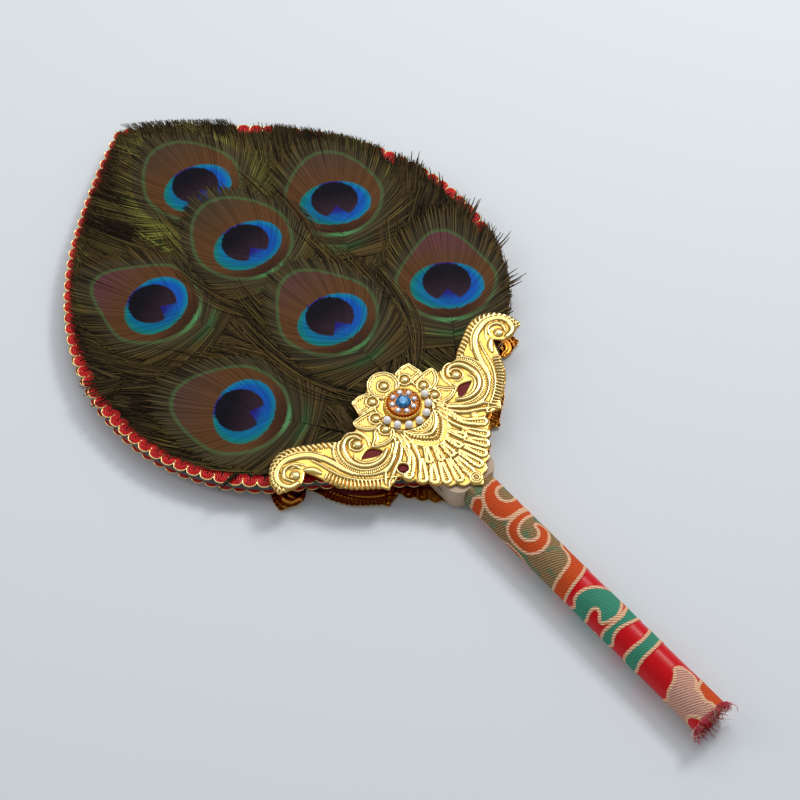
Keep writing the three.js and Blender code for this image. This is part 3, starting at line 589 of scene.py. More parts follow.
def streaked(tree, shader, colour, low, high, side_shade):
    """Paints barbs: each has its own brightness, from low to high, and painted shade on its two sides."""
    shade = add_node(tree, "ShaderNodeAttribute", attribute_name="shade").outputs["Fac"]
    across = add_node(tree, "ShaderNodeAttribute", attribute_name="across").outputs["Fac"]
    own = add_node(tree, "ShaderNodeMapRange", (shade, 0.0, 1.0, low, high), **smoothly)
    side = add_node(tree, "ShaderNodeMath", (across,), operation="ABSOLUTE")
    # Painted shade: each barb is darker towards its sides, where its neighbours shade it
    dark = add_node(tree, "ShaderNodeMapRange", (side, 0.3, 1.0, 1.0, side_shade), **smoothly)
    factor = add_node(tree, "ShaderNodeMath", (own, dark), operation="MULTIPLY")
    painted = add_node(tree, "ShaderNodeVectorMath", (colour, factor), operation="SCALE")
    wire(tree, shader, {"Base Color": painted})


# %% [markdown]
# From its middle outwards, an eye has a dark pupil with a notch below, a blue ring that turns green at its
# rim, a bronze zone, a thin green line and a dull band. The zones are ovals, measured from the eye's middle,
# and the outer ones narrow towards the tip. The edge of a zone is ragged from barb to barb.

# %% Measure the zones of the eye
feather_material, tree, shader = new_material(
    "iridescent eye feather", Roughness=0.5, Specular_IOR_Level=0.05)
place = add_node(tree, "ShaderNodeAttribute", attribute_name="eye_place").outputs["Vector"]
straight_across, straight_along, _ = add_node(tree, "ShaderNodeSeparateXYZ", (place,)).outputs
shade, tone, glow = (
    add_node(tree, "ShaderNodeAttribute", attribute_name=name).outputs["Fac"]
    for name in ("shade", "tone", "glow"))
ragged = add_node(tree, "ShaderNodeMath", (shade, 0.5), operation="SUBTRACT")
along = add_node(tree, "ShaderNodeMath", (ragged, straight_along), operation="ADD")
pointed = add_node(tree, "ShaderNodeMapRange", (tone, 0, 1, 1.18, 1.55), **smoothly)
taper = add_node(tree, "ShaderNodeMapRange", (along, 2, 34, 1.0, pointed), **smoothly)
across = add_node(tree, "ShaderNodeMath", (straight_across, taper), operation="MULTIPLY")
beside = add_node(tree, "ShaderNodeMath", (straight_across,), operation="ABSOLUTE")
notch = add_node(tree, "ShaderNodeMath", (along, 0.95, beside), operation="MULTIPLY_ADD")
pupil = eye_distance(tree, straight_across, along, 1.6, (12.0, 11.6))
ring = eye_distance(tree, straight_across, along, -0.6, (18.2, 14.3))
bronze = eye_distance(tree, across, along, 6.4, (24.0, 27.0))
far_band = eye_distance(tree, across, along, 8.0, (31.0, 36.0))
below_eye = eye_distance(tree, across, along, -25.0, (15.0, 9.0))
green_below = add_node(tree, "ShaderNodeMapRange", (below_eye, 0.2, 1.1, 1.0, 0.0), **smoothly)

# %% Tint the zones of the eye
loose_tint = add_node(tree, "ShaderNodeMix", (shade, "#1d150b", "#574522"), **in_colour)
# Painted sheen: bunches of barbs turn bright gold-green in place of brown
sheen_tint = add_node(tree, "ShaderNodeMix", (shade, "#566030", "#8e963e"), **in_colour)
green_tint = add_node(tree, "ShaderNodeMix", (shade, "#20381c", "#36643a"), **in_colour)
barb_tint = add_node(tree, "ShaderNodeMix", (glow, loose_tint, sheen_tint), **in_colour)
barb_tint = add_node(tree, "ShaderNodeMix", (green_below, barb_tint, green_tint), **in_colour)
band_tint = add_node(tree, "ShaderNodeMix", (shade, "#30281a", "#4e442a"), **in_colour)
line_tint = add_node(tree, "ShaderNodeMix", (green_below, "#4c5a36", "#56925a"), **in_colour)
tip_tint = add_node(tree, "ShaderNodeMix", (tone, "#4c3b29", "#60383c"), **in_colour)
bronze_tint = fade(tree, along, 10, 34, "#5d3c20", tip_tint)
bronze_tint = fade(tree, along, -4, -22, bronze_tint, "#3a2114")
ring_tint = fade(tree, straight_across, -16, 8, "#0a6d90", "#1152aa")
ring_rim_tint = fade(tree, straight_across, -12, 12, "#137670", "#077899")
ring_tint = fade(tree, ring, 0.76, 0.98, ring_tint, ring_rim_tint)
middle_tint = fade(tree, beside, 3.0, 9.0, "#241f7c", ring_tint)
ring_tint = fade(tree, along, -10.5, -5.0, ring_tint, middle_tint)
pupil_tint = fade(tree, along, -8, 8, "#33202a", "#0f0d16")

colour = fade(tree, far_band, 0.96, 1.04, band_tint, barb_tint)
colour = fade(tree, bronze, 1.04, 1.1, line_tint, colour)
colour = fade(tree, bronze, 0.98, 1.01, bronze_tint, colour)
colour = fade(tree, ring, 0.97, 1.02, ring_tint, colour)
in_pupil = add_node(tree, "ShaderNodeMapRange", (pupil, 0.96, 1.02, 1.0, 0.0), **smoothly)
above_notch = add_node(tree, "ShaderNodeMapRange", (notch, -3.3, -2.4), **smoothly)
in_both = add_node(tree, "ShaderNodeMath", (in_pupil, above_notch), operation="MULTIPLY")
colour = add_node(tree, "ShaderNodeMix", (in_both, colour, pupil_tint), **in_colour)
shade_low = add_node(tree, "ShaderNodeMapRange", (bronze, 1.0, 1.3, 0.76, 0.4), **smoothly)
shade_high = add_node(tree, "ShaderNodeMapRange", (bronze, 1.0, 1.3, 1.22, 1.65), **smoothly)
# Painted shade at the barbs' sides, stronger outside the eye where the barbs lie apart
side_shade = add_node(tree, "ShaderNodeMapRange", (bronze, 1.0, 1.25, 0.7, 0.3), **smoothly)
streaked(tree, shader, colour, shade_low, shade_high, side_shade)
print("nodes in the eye feather's material:", len(tree.nodes))

# %% [markdown]
# The loose barbs between the eyes are brown and olive, one tint for each tuft, and quite matt. A quill is
# dark horn, plain dark brown with no shine. The down under the barbs is brown and lies in their shade, so
# it is painted darker, plain dark brown with no shine, as painted shade.

# %% Make the loose barbs' and the quills' materials
barb_material, tree, shader = new_material("loose feather barbs", Roughness=0.6, Specular_IOR_Level=0.04)
tint = add_node(tree, "ShaderNodeAttribute", attribute_name="tint").outputs["Fac"]
tuft = fade(tree, tint, 0.0, 0.55, "#22180e", "#483a20")
tuft = fade(tree, tint, 0.55, 1.0, tuft, "#605e2e")
# The last value is the painted shade at each barb's sides
streaked(tree, shader, tuft, 0.28, 1.65, 0.35)
quill_material = new_material("horny quill", Base_Color="#1f1811", Roughness=0.8, Specular_IOR_Level=0.1)[0]
# Painted shade: the down is darker because it lies in the shade of the barbs
shaded_down_material = new_material("shaded feather down", Base_Color="#1d180f", Roughness=0.9)[0]

# %% [markdown]
# ## The loose barbs
# Between the eyes lie thousands of loose barbs, glued down in tufts that point away from the handle. Each
# tuft is a small fan of barbs with one tint. On the left the barbs end at the braid. On the right and at the
# tip they run over it, and a few tufts stand out past the edge.

# %% Find where barbs may lie
barb_base = 2.75
bed_inset = 7.0
head_gap = 13.3
bed_foot = 6.3
measured_edge = blade_edge(0, 240)
inward = side_of(measured_edge)


def inset_of(points):
    """How far inside the blade's edge each point is, in millimetres."""
    gaps = points[:, None, :2] - measured_edge[None]
    nearest = np.argmin((gaps ** 2).sum(axis=2), axis=1)
    rows = np.arange(len(points))
    return (gaps[rows, nearest] * inward[nearest]).sum(axis=1)


def curve_between(root, bend, tip, count):
    share = np.linspace(0, 1, count)[:, None]
    return (1 - share) ** 2 * root + 2 * share * (1 - share) * bend + share ** 2 * tip


def heading(degrees):
    """The direction that leans this far from the fan's length, clockwise."""
    return np.array([math.sin(math.radians(degrees)), math.cos(math.radians(degrees))])


def height_at(inset, base):
    """Barbs lie at their base, and rise over the braid where they cross it."""
    return np.maximum(base, np.interp(inset, [-3, 1, 6.4, 8.4], [3.0, 3.5, 3.3, 0]))


print("points that measure the blade's edge:", len(measured_edge))

# %% End the barbs near the edge
bare_braid = [((57, 184), 10), ((96, 123), 4), ((106, 88), 13), ((102, 60), 6)]
braid_inner_side = 6


def edge_allowance(path, inset, dice, loose):
    """How far inside the edge a barb must end. Less than the braid's width lets it run over the braid."""
    near = np.nonzero(inset < braid_inner_side)[0]
    across, along = path[near[0] if len(near) else -1]
    bare = any(np.hypot(across - spot[0], along - spot[1]) < radius for spot, radius in bare_braid)
    at_tip = 4 < across < 46 and along > 185
    on_right = across > 12
    if bare or not loose:
        return dice.normal(5.6, 0.7)
    if at_tip:
        return dice.normal(-2.8, 0.5)
    if on_right:
        return dice.normal(0.2, 0.8)
    return dice.normal(np.interp(along, [90, 140, 200], [5.6, 4.0, 2.8]), 0.8)


def cut_at(path, inset, limit):
    """How many points of a barb are left, and the last one, where it would pass its limit."""
    outside = np.nonzero(inset <= limit)[0]
    if not len(outside):
        return len(path), path[-1]
    last = outside[0]
    share = (inset[last - 1] - limit) / (inset[last - 1] - inset[last]) if last else 0
    return last + 1, path[last - 1] + (path[last] - path[last - 1]) * share


# %% Lay one tuft
barb_half_width = 0.26
barb_points = 8
kept_points = 7
least_points = 3
no_limit = -50


def lay_tuft(lines, dice, root, lean, length, count, spread, fan, tint, half=barb_half_width, lift=0.0,
             loose=True, free=False):
    """Adds one tuft. Spread is its width at the root, and fan the degrees by which it opens."""
    bend_angle = dice.normal(0, 8)
    for share in np.linspace(-0.5, 0.5, count):
        angle = lean + share * fan + dice.normal(0, 1.6)
        start = root + heading(lean + 90) * share * spread + heading(lean) * dice.normal(0, 1.5)
        reach = length * dice.uniform(0.75, 1.08)
        bend = start + heading(angle - bend_angle / 2) * reach * 0.5
        tip = bend + heading(angle + bend_angle) * reach * 0.5
        path = curve_between(start, bend, tip, barb_points)
        inset = inset_of(path)
        limit = no_limit if free else edge_allowance(path, inset, dice, loose)
        kept, end = cut_at(path, inset, limit)
        over_head = (np.abs(path[:kept, 0]) < head_gap) & (path[:kept, 1] < bed_foot)
        if kept < least_points or over_head.any() or inset[0] < bed_inset:
            continue
        path = evenly([*path[:kept - 1], end], kept_points)
        run = np.linspace(0, 1, len(path))
        rise = height_at(inset_of(path), barb_base)
        height = rise + lift + dice.uniform(0, 0.35) + 0.1 * np.sin(run * math.pi)
        width = half * np.interp(run, [0, 0.5, 1], [0.8, 1, 0.25])
        lines.add(np.column_stack([path, height]), width, tint=tint, shade=dice.uniform(0, 1))


# %% [markdown]
# The tufts stand on a loose grid in a shuffled order, so that no side always lies on top. A second row
# stands near the rim, where the real ones are thick, and nine on the front stray past the edge.

# %% Scatter the tufts
tuft_grid = np.arange(-104, 105, 13.0), np.arange(-30, 215, 15.0)
tufts_point_from = np.array([0, -25])
rim_inset = 30
rim_tufts = slice(46, 116, 2)


def lean_of(direction):
    """How many degrees a direction leans from the fan's length, clockwise."""
    return math.degrees(math.atan2(direction[0], direction[1]))


def tuft_tint(dice, middle, scatter):
    return float(np.clip(dice.normal(middle, scatter), 0, 1))


def scatter_barbs(seed, loose):
    """Every tuft of one face, and the dice as they are left."""
    dice = np.random.default_rng(seed)
    lines = Lines("tint", "shade")
    spots = [
        np.array([across, along]) + dice.uniform(-6, 6, 2)
        for across in tuft_grid[0] for along in tuft_grid[1]]
    dice.shuffle(spots)
    for spot in spots:
        if inset_of(spot[None])[0] < bed_inset + 1:
            continue
        sway = 12 * math.sin(spot[0] / 19 + seed) * math.cos(spot[1] / 27)
        lean = lean_of(spot - tufts_point_from) * 0.9 + sway + dice.normal(0, 5)
        count = int(dice.integers(28, 42))
        tint = tuft_tint(dice, 0.36 if spot[0] > -30 else 0.46, 0.25)
        lay_tuft(lines, dice, spot, lean, dice.uniform(36, 62), count, dice.uniform(9, 15),
                 dice.uniform(3, 12), tint, loose=loose)
    rim = blade_edge(rim_inset, 60)
    for spot, out in zip(rim[rim_tufts], -side_of(rim)[rim_tufts]):
        lean = lean_of(out) * 0.62 + dice.normal(0, 4)
        tint = tuft_tint(dice, 0.4, 0.2)
        lay_tuft(lines, dice, spot, lean, dice.uniform(36, 44), 30, 9, 6, tint, lift=0.4, loose=loose)
    return lines, dice


front_lines, dice = scatter_barbs(5, True)
stray_tufts = [
    ((88, 96), 40, 26, 12, 9, 10), ((90, 84), 52, 25, 11, 8, 12), ((88, 62), 62, 24, 12, 9, 14),
    ((86, 42), 76, 22, 11, 8, 12), ((76, 20), 92, 20, 9, 6, 10), ((-92, 96), -66, 18, 6, 4, 12),
    ((-78, 18), -100, 14, 7, 5, 12), ((-94, 92), -84, 13, 4, 3, 12), ((50, 160), 24, 24, 8, 10, 7),
]
stray_half_width = 0.55
for root, *tuft in stray_tufts:
    lay_tuft(front_lines, dice, np.array(root, dtype=float), *tuft, 0.3, half=stray_half_width, lift=0.5,
             free=True)
back_lines, _ = scatter_barbs(11, False)
print("barbs on the front:", len(front_lines.points), "on the back:", len(back_lines.points))

# %% Lay the beds
def join_pieces(name, pieces):
    """Makes one mesh of several."""
    with bpy.context.temp_override(active_object=pieces[0], selected_editable_objects=pieces):
        bpy.ops.object.join()
    pieces[0].name = name
    return pieces[0]


def plate_between(name, outline, low, high):
    """A flat closed slab over an outline."""
    count = len(outline)
    points = np.concatenate([np.column_stack([outline, np.full(count, level)]) for level in (low, high)])
    faces = [list(range(count))[::-1], [number + count for number in range(count)]]
    for number in range(count):
        after = (number + 1) % count
        faces.append([number, after, after + count, number + count])
    made = new_mesh_object(name, to_metres(points), faces=faces)
    face_outwards(made)
    return made


down_bottom, down_top = 1.3, barb_base - 0.1
inner = blade_edge(bed_inset, 70)
inner = inner[(np.abs(inner[:, 0]) > head_gap) | (inner[:, 1] > 100)]
bed_end = inner[-1][1]
bed_outline = np.concatenate([
    inner, [(head_gap, bed_end), (head_gap, bed_foot), (-head_gap, bed_foot), (-head_gap, bed_end)]])
for face, over, lines in (("front", False, front_lines), ("back", True, back_lines)):
    # The down is a slab under the barbs, painted dark as painted shade
    down = plate_between("down", bed_outline, down_bottom, down_top)
    down.data.materials.append(shaded_down_material)
    barbs = run_tree(lines.to_object("barbs"), strip, Material=barb_material)
    finish_piece(join_pieces(f"{face}_loose_barbs", [barbs, down]), "barbs", f"{face}_feather_bed", over=over)

# %% [markdown]
# ## The eye feathers
# An eye feather is a quill with barbs on both sides. Near the eye they are dense and lie edge to edge, so
# the eye reads as one picture made of fine lines. Below it they are long and loose. Every barb is laid
# from the quill to a point on the vane's outline, a little differently each time.

# %% Lay one eye feather
vane_points = 400
vane = smooth_line([
    (13, -37), (20, -29), (25.5, -16), (27, -3), (25.8, 10), (21.5, 22), (14, 32.5), (6, 38.5), (0, 40)],
    vane_points)
vane_foot = -37
vane_barbs = 190
lower_barbs = 84
flank_barbs = 84
quill_points = 14


class Feather:
    """One eye feather as it is laid: where its eye is, how it leans, and its lines."""

    def __init__(self, dice, loose, middle, foot, tilt, base, tone, glow, reach):
        self.dice, self.loose, self.base = dice, loose, base
        self.tone, self.glow, self.reach = tone, glow, reach
        self.middle = np.array(middle, dtype=float)
        self.forward, self.right = heading(tilt), heading(tilt + 90)
        self.foot = float((np.array(foot) - self.middle) @ self.forward)
        self.barbs = Lines("eye_place", "shade", "tone", "glow")
        self.patches = dice.uniform(0, 2 * math.pi, (2, 2))
        self.quill = Lines("shade")

    def on_fan(self, local):
        return self.middle + local[:, :1] * self.right + local[:, 1:] * self.forward

    def painted_sheen_at(self, side, share):
        """Painted sheen: bunches of bright gold-green barbs that come and go along the quill."""
        first, second = self.patches[0 if side < 0 else 1]
        wave = math.sin(7 * share + first) + 0.6 * math.sin(17 * share + second)
        # The painted sheen is stronger on the feather's left side
        bias = self.glow if side < 0 else self.glow - 0.5
        return float(np.clip(0.5 * wave + bias + self.dice.normal(0, 0.3), 0, 1))

    def add_barb(self, side, root, bend, tip, count, width, lifts, glow):
        """A barb on one side of the quill, cut where it would leave the blade."""
        path = curve_between(np.array([0, root]), np.array(bend), np.array(tip), count) * [side, 1]
        placed = self.on_fan(path)
        inset = inset_of(placed)
        limit = edge_allowance(placed, inset, self.dice, self.loose)
        keep, placed_end = cut_at(placed, inset, limit)
        if keep < 3:
            return
        placed[keep - 1] = placed_end
        run = np.linspace(0, 1, count)
        height = height_at(inset, self.base + np.interp(run, [0, 1], lifts)) + self.dice.uniform(-0.07, 0.07)
        swell = width * np.interp(run, [0, 0.4, 0.9, 1], [0.55, 0.95, 1.05, 0.4])
        shine = glow * np.sin(math.pi * (0.1 + 0.8 * run))
        self.barbs.add(
            np.column_stack([placed, height])[:keep], swell[:keep], tone=self.tone, glow=shine[:keep],
            eye_place=np.column_stack([path, np.zeros(count)])[:keep], shade=float(self.dice.beta(2, 2)))

    def add_lower_barb(self, side, share):
        """A long loose barb below the eye."""
        root = self.foot + 6 + (-38 - self.foot - 6) * share
        length = self.dice.uniform(30, 46)
        bend = np.array([0, root]) + heading(self.dice.normal(16, 3)) * length * 0.5
        tip = bend + heading(self.dice.normal(34, 6)) * length * 0.5
        glow = self.painted_sheen_at(side, share * 0.6)
        self.add_barb(side, root, bend, tip, 8, 0.27, (0.3, 0.1), glow * 0.4)

    def add_flank_barb(self, side, share):
        """A long barb that runs alongside the eye and ends past it."""
        root = -62 + 26 * share
        out = self.dice.uniform(25, 39) * (1.08 - 0.2 * share)
        tip = (out * (1.02 - 0.25 * share), -4 + 50 * share + self.dice.normal(0, 6))
        bend = (out * 0.98, root + 24 + self.dice.normal(0, 2))
        self.add_barb(side, root, bend, tip, 11, 0.22, (0.15, -0.05), self.painted_sheen_at(side, 0.6 + share * 0.4))

    def add_vane_barb(self, side, share):
        """A barb of the eye, laid edge to edge with its neighbours. It leaves the quill and bends forward."""
        end = vane[int(share ** 0.95 * (vane_points - 1))]
        root = vane_foot + 36 * share ** 0.9
        bend = np.array([end[0] * 0.74, root + (end[1] - root) * 0.5])
        onward = (end - bend) / np.linalg.norm(end - bend)
        past = self.dice.uniform(0, 3.5) + self.reach * self.dice.uniform(0.4, 1)
        if self.dice.uniform() < 0.2:
            past += self.dice.uniform(0, 4)
        tip = end + onward * past + self.dice.normal(0, 0.25, 2)
        glow = 0.8 * self.painted_sheen_at(side, 0.4 + share * 0.6)
        self.add_barb(side, root, bend, tip, 13, 0.36, (0.75, 0.2), glow)

    def lay(self):
        for side in (-1, 1):
            for number in range(lower_barbs):
                self.add_lower_barb(side, (number + self.dice.uniform(0, 1)) / lower_barbs)
            for number in range(flank_barbs):
                self.add_flank_barb(side, (number + self.dice.uniform(0, 1)) / flank_barbs)
            for number in range(vane_barbs):
                self.add_vane_barb(side, (number + 0.5) / vane_barbs)
        share = np.linspace(0, 1, quill_points)
        stem = np.column_stack([np.zeros(quill_points), self.foot + (-3 - self.foot) * share])
        line = np.column_stack([self.on_fan(stem), np.full(quill_points, self.base + 0.5)])
        self.quill.add(line, 0.5 - 0.34 * share, shade=0.5)


# %% [markdown]
# Seven feathers lie on each face, in three layers: the tip's and the two upper ones first, then the middle
# and the two lower ones, and the lower middle one on top. Each has its eye's middle, its foot, its lean in
# degrees, its height, how red its top is, how much painted sheen its barbs get, and how far they reach past
# the vane.

# %% Lay the seven eye feathers of each face
first_layer, second_layer, third_layer = 3.25, 3.85, 4.45
feathers = [
    ("tip", (8, 168), (2.2, 8.4), 3, first_layer, 0.1, 0.8, 17),
    ("upper_left", (-52, 120.7), (-10.8, 8.4), -24, first_layer, 0.9, -0.4, 8),
    ("upper_right", (55.3, 115), (10.8, 8.4), 28, first_layer, 0.2, -0.2, 14),
    ("middle", (4.5, 121.4), (3.2, 8.4), 2, second_layer, 0.0, -0.1, 2),
    ("lower_left", (-57.1, 44), (-30.2, 4.1), -36, second_layer, 0.3, -0.6, 5),
    ("lower_right", (63.7, 38.7), (37.7, 1.4), 35, second_layer, 1.0, -0.3, 8),
    ("lower_middle", (7.5, 58.5), (5.4, 8.4), 2, third_layer, 0.5, -0.4, 2),
]
for face, over, seed in (("front", False, 21), ("back", True, 22)):
    dice = np.random.default_rng(seed)
    for label, *placing in feathers:
        feather = Feather(dice, not over, *placing)
        feather.lay()
        barbs = run_tree(feather.barbs.to_object("barbs"), strip, Material=feather_material)
        quill = run_tree(feather.quill.to_object("quill"), cord, Material=quill_material)
        finish_piece(join_pieces(f"{face}_{label}_eye_feather", [barbs, quill]), "eye_feather",
                     f"{face}_{label}_feather", over=over)

# %% [markdown]
# ## The stamped plates
# Each plate is one thin sheet of gilt metal pressed in a die, so its relief is a height above the sheet. It
# is made the way a die is cut: on a fine grid, one stamp after another raises bands, rows of beads, ribbed
# lobes and knobs along drawn lines. The right half is drawn and the left half mirrors it.

# %% Draw the plate's outline
plate_half = 73.8
plate_drop = 59.3
crest_middle = (0, 11.2)
crest_radius = 7.9
upper_petals = [
    (0.125, 0.223), (0.18, 0.239), (0.238, 0.226), (0.249, 0.165), (0.262, 0.088), (0.292, 0.09),
    (0.33, 0.072), (0.334, 0.015), (0.352, 0.008), (0.385, 0.028), (0.42, 0.03), (0.462, 0.01),
]
upper_border = [
    (0.495, 0.02), (0.54, 0.065), (0.61, 0.118), (0.695, 0.18), (0.765, 0.214), (0.833, 0.214),
    (0.913, 0.168), (0.966, 0.09), (0.988, 0.01), (0.99, -0.066),
]
scroll_underside = [
    (0.946, -0.078), (0.893, -0.106), (0.84, -0.105), (0.81, -0.084), (0.775, -0.04), (0.748, -0.1),
]
lower_border = [
    (0.722, -0.184), (0.685, -0.277), (0.637, -0.366), (0.574, -0.435), (0.508, -0.497), (0.488, -0.52),
]
spike = [(0.46, -0.577), (0.427, -0.555), (0.386, -0.547), (0.36, -0.53)]
lobe_border = [(0.345, -0.55), (0.27, -0.676), (0.19, -0.782), (0.115, -0.862), (0.052, -0.925)]
point = [(0.045, -0.955), (0, -1)]
tear_hole = [(0.452, -0.225), (0.4, -0.199), (0.36, -0.199), (0.328, -0.24), (0.318, -0.28), (0.37, -0.275)]
nail_hole = (-21.9, -29.4)
nail_hole_radius = 2.3


def on_plate(shares):
    return np.array(shares) * [plate_half, plate_drop]


def scalloped(shares, count, depth, samples=8):
    """A smooth line swelled outwards into a row of scallops."""
    line = smooth_line(on_plate(shares), count * samples)
    swell = np.abs(np.sin(np.pi * np.arange(len(line)) / samples)) * depth
    return line - side_of(line) * swell[:, None]


crest_end = on_plate(upper_petals[0]) - crest_middle
crest_turn = np.linspace(math.pi / 2, math.atan2(crest_end[1], crest_end[0]) + math.radians(15), 24)
right_side = np.concatenate([
    circle(crest_turn, crest_radius, crest_middle), on_plate(upper_petals), scalloped(upper_border, 22, 0.45),
    on_plate(scroll_underside), scalloped(lower_border, 11, 0.6), on_plate(spike),
    scalloped(lobe_border, 5, 1.5), on_plate(point)])
plate_outline = np.concatenate([right_side, (right_side * [-1, 1])[-2:0:-1]])
tear_line = smooth_line(on_plate([*tear_hole, tear_hole[0]]), 40)
print("plate:", round(np.ptp(plate_outline[:, 0]), 1), "by", round(np.ptp(plate_outline[:, 1]), 1), "mm")

# %% Lay out the die's grid
die_pitch = 0.355
die_top = 20.5
die_columns = int(round(plate_half / die_pitch)) + 2
die_across = np.arange(die_columns) * die_pitch
die_along = np.arange(-plate_drop - 2 * die_pitch, die_top + die_pitch, die_pitch)
die_points = np.stack(np.meshgrid(die_across, die_along, indexing="ij"), axis=-1).reshape(-1, 2)
print("points of the half die:", len(die_points))


def distance_inside(points, outline):
    """How far points lie inside a closed outline, less than nothing outside."""
    start, end = outline, np.roll(outline, -1, axis=0)
    best = np.full(len(points), 1e9)
    crossings = np.zeros(len(points), dtype=int)
    for first, second in zip(start, end):
        step = second - first
        share = np.clip(((points - first) @ step) / max(step @ step, 1e-12), 0, 1)
        best = np.minimum(best, ((points - first - share[:, None] * step) ** 2).sum(axis=1))
        spans = (first[1] > points[:, 1]) != (second[1] > points[:, 1])
        where = first[0] + (points[:, 1] - first[1]) * step[0] / (step[1] if step[1] else 1e-12)
        crossings += spans & (points[:, 0] < where)
    return np.sqrt(best) * np.where(crossings % 2, 1, -1)


def dome(distance, radius):
    """How high a round ridge is at a distance from its middle: 1 in the middle and 0 at its radius."""
    return np.sqrt(np.clip(1 - (distance / radius) ** 2, 0, 1))


# %% Make the stamps
class Die:
    """The half die: the height of every grid point, raised by one stamp after another."""

    def __init__(self, floor):
        self.height = np.full(len(die_points), floor)

    def near(self, path, reach):
        """Grid points near a line: their index, distance, run along it, and side."""
        path = evenly(path, max(int(np.linalg.norm(np.diff(path, axis=0), axis=1).sum() / 0.25), 2))
        run = run_along(path)
        low, high = path.min(axis=0) - reach, path.max(axis=0) + reach
        found = np.nonzero(((die_points >= low) & (die_points <= high)).all(axis=1))[0]
        gaps = die_points[found][:, None] - path[None]
        nearest = np.argmin((gaps ** 2).sum(axis=2), axis=1)
        rows = np.arange(len(found))
        gap = gaps[rows, nearest]
        normal = side_of(path)[nearest]
        ahead = (gap * np.stack([-normal[:, 1], normal[:, 0]], axis=1)).sum(axis=1)
        side = (gap * normal).sum(axis=1)
        return found, np.linalg.norm(gap, axis=1), run[nearest] + ahead, side, run[-1]

    def band(self, line, width, height, taper=0.4):
        """A smooth rounded band, narrower at its ends."""
        found, gap, run, _, length = self.near(smooth_line(line, 60), width + 0.5)
        wide = width * (taper + (1 - taper) * np.sin(np.clip(run / length, 0, 1) * math.pi) ** 0.6)
        self.height[found] = np.maximum(self.height[found], height * dome(gap, wide))

    def groove(self, line, width, depth):
        """A narrow groove, never deeper than the sheet."""
        found, gap, _, _, _ = self.near(smooth_line(line, 60), width + 0.5)
        cut = depth * np.clip(1 - (gap / width) ** 2, 0, 1)
        self.height[found] = np.maximum(self.height[found] - cut, 0)

    def beads(self, line, radius, pitch, height):
        """A row of beads."""
        found, _, run, side, length = self.near(smooth_line(line, 60), radius + 0.5)
        count = max(round(length / pitch), 1)
        place = (run / length * count) % 1 - 0.5
        gap = np.hypot(place * length / count, side)
        raised = height * dome(gap, radius) * ((run >= 0) & (run <= length))
        self.height[found] = np.maximum(self.height[found], raised)

    def hatched(self, line, width, pitch, height, slant=0.0, sharp=1.0):
        """A band of leaflets or ticks that cross the line."""
        found, _, run, side, length = self.near(smooth_line(line, 80), width + 0.5)
        count = max(round(length / pitch), 1)
        turn = (run + side * slant) / length * count * 2 * math.pi
        tick = (0.5 + 0.5 * np.cos(turn)) ** sharp
        profile = np.sqrt(np.clip(1 - (side / width) ** 4, 0, 1))
        within = (np.abs(side) < width) & (run > 0) & (run < length)
        self.height[found] = np.where(within, tick * profile * height, self.height[found])

    def knob(self, middle, radius, height):
        gap = np.linalg.norm(die_points - middle, axis=1)
        self.height = np.maximum(self.height, height * dome(gap, radius))

    def disc(self, middle, radius, height):
        """A flat round seat."""
        gap = np.linalg.norm(die_points - middle, axis=1)
        self.height = np.where(gap < radius, height, self.height)

    def lobe(self, line, root_width, tip_width, height):
        """A long round-ended lobe with two raised rims and rungs across its field."""
        rung_pitch, rim_pitch, rim_half_width = 1.2, 0.85, 0.42
        found, gap, run, _, length = self.near(smooth_line(line, 40), tip_width + 0.5)
        wide = root_width + (tip_width - root_width) * np.clip(run / length, 0, 1)
        share = gap / wide
        rung = 0.5 + 0.5 * np.cos(run / rung_pitch * 2 * math.pi)
        field = height * (0.35 + 0.3 * rung)
        rim = np.zeros(len(found))
        for number in range(2):
            centre = 1 - (0.5 + number * rim_pitch) / wide
            rim = np.maximum(rim, height * dome((share - centre) * wide, rim_half_width))
        shape = np.where(share < 1 - 2 * rim_pitch / wide, field, np.maximum(rim, height * 0.3))
        shape = np.where(share > 0.92, 0.1 * height, shape)
        inside = (share < 1) & (run > -tip_width * 0.2)
        self.height[found] = np.where(inside, shape, self.height[found])

    def petal(self, outline, height):
        """A closed petal: two rims and a field of small beads."""
        bead_pitch, field_depth = 1.15, 2.1
        depth = distance_inside(die_points, smooth_line([*outline, outline[0]], 48)[:-1])
        rims = np.maximum(dome(depth - 0.55, 0.5), 0.8 * dome(depth - 1.65, 0.4))
        dots = np.cos(die_points * 2 * math.pi / bead_pitch).prod(axis=1)
        field = np.where(depth > field_depth, 0.4 + 0.4 * dots, 0.2)
        self.height = np.where(depth > 0, height * np.maximum(rims, field), self.height)


# %% [markdown]
# The sides of the plate are scrolls that roll in on themselves. Their outer band runs on inwards as a
# grooved stem. Leaf veins and beads follow the edge, and a knob fills the eye of the roll. Every line is
# drawn in millimetres from the datum.

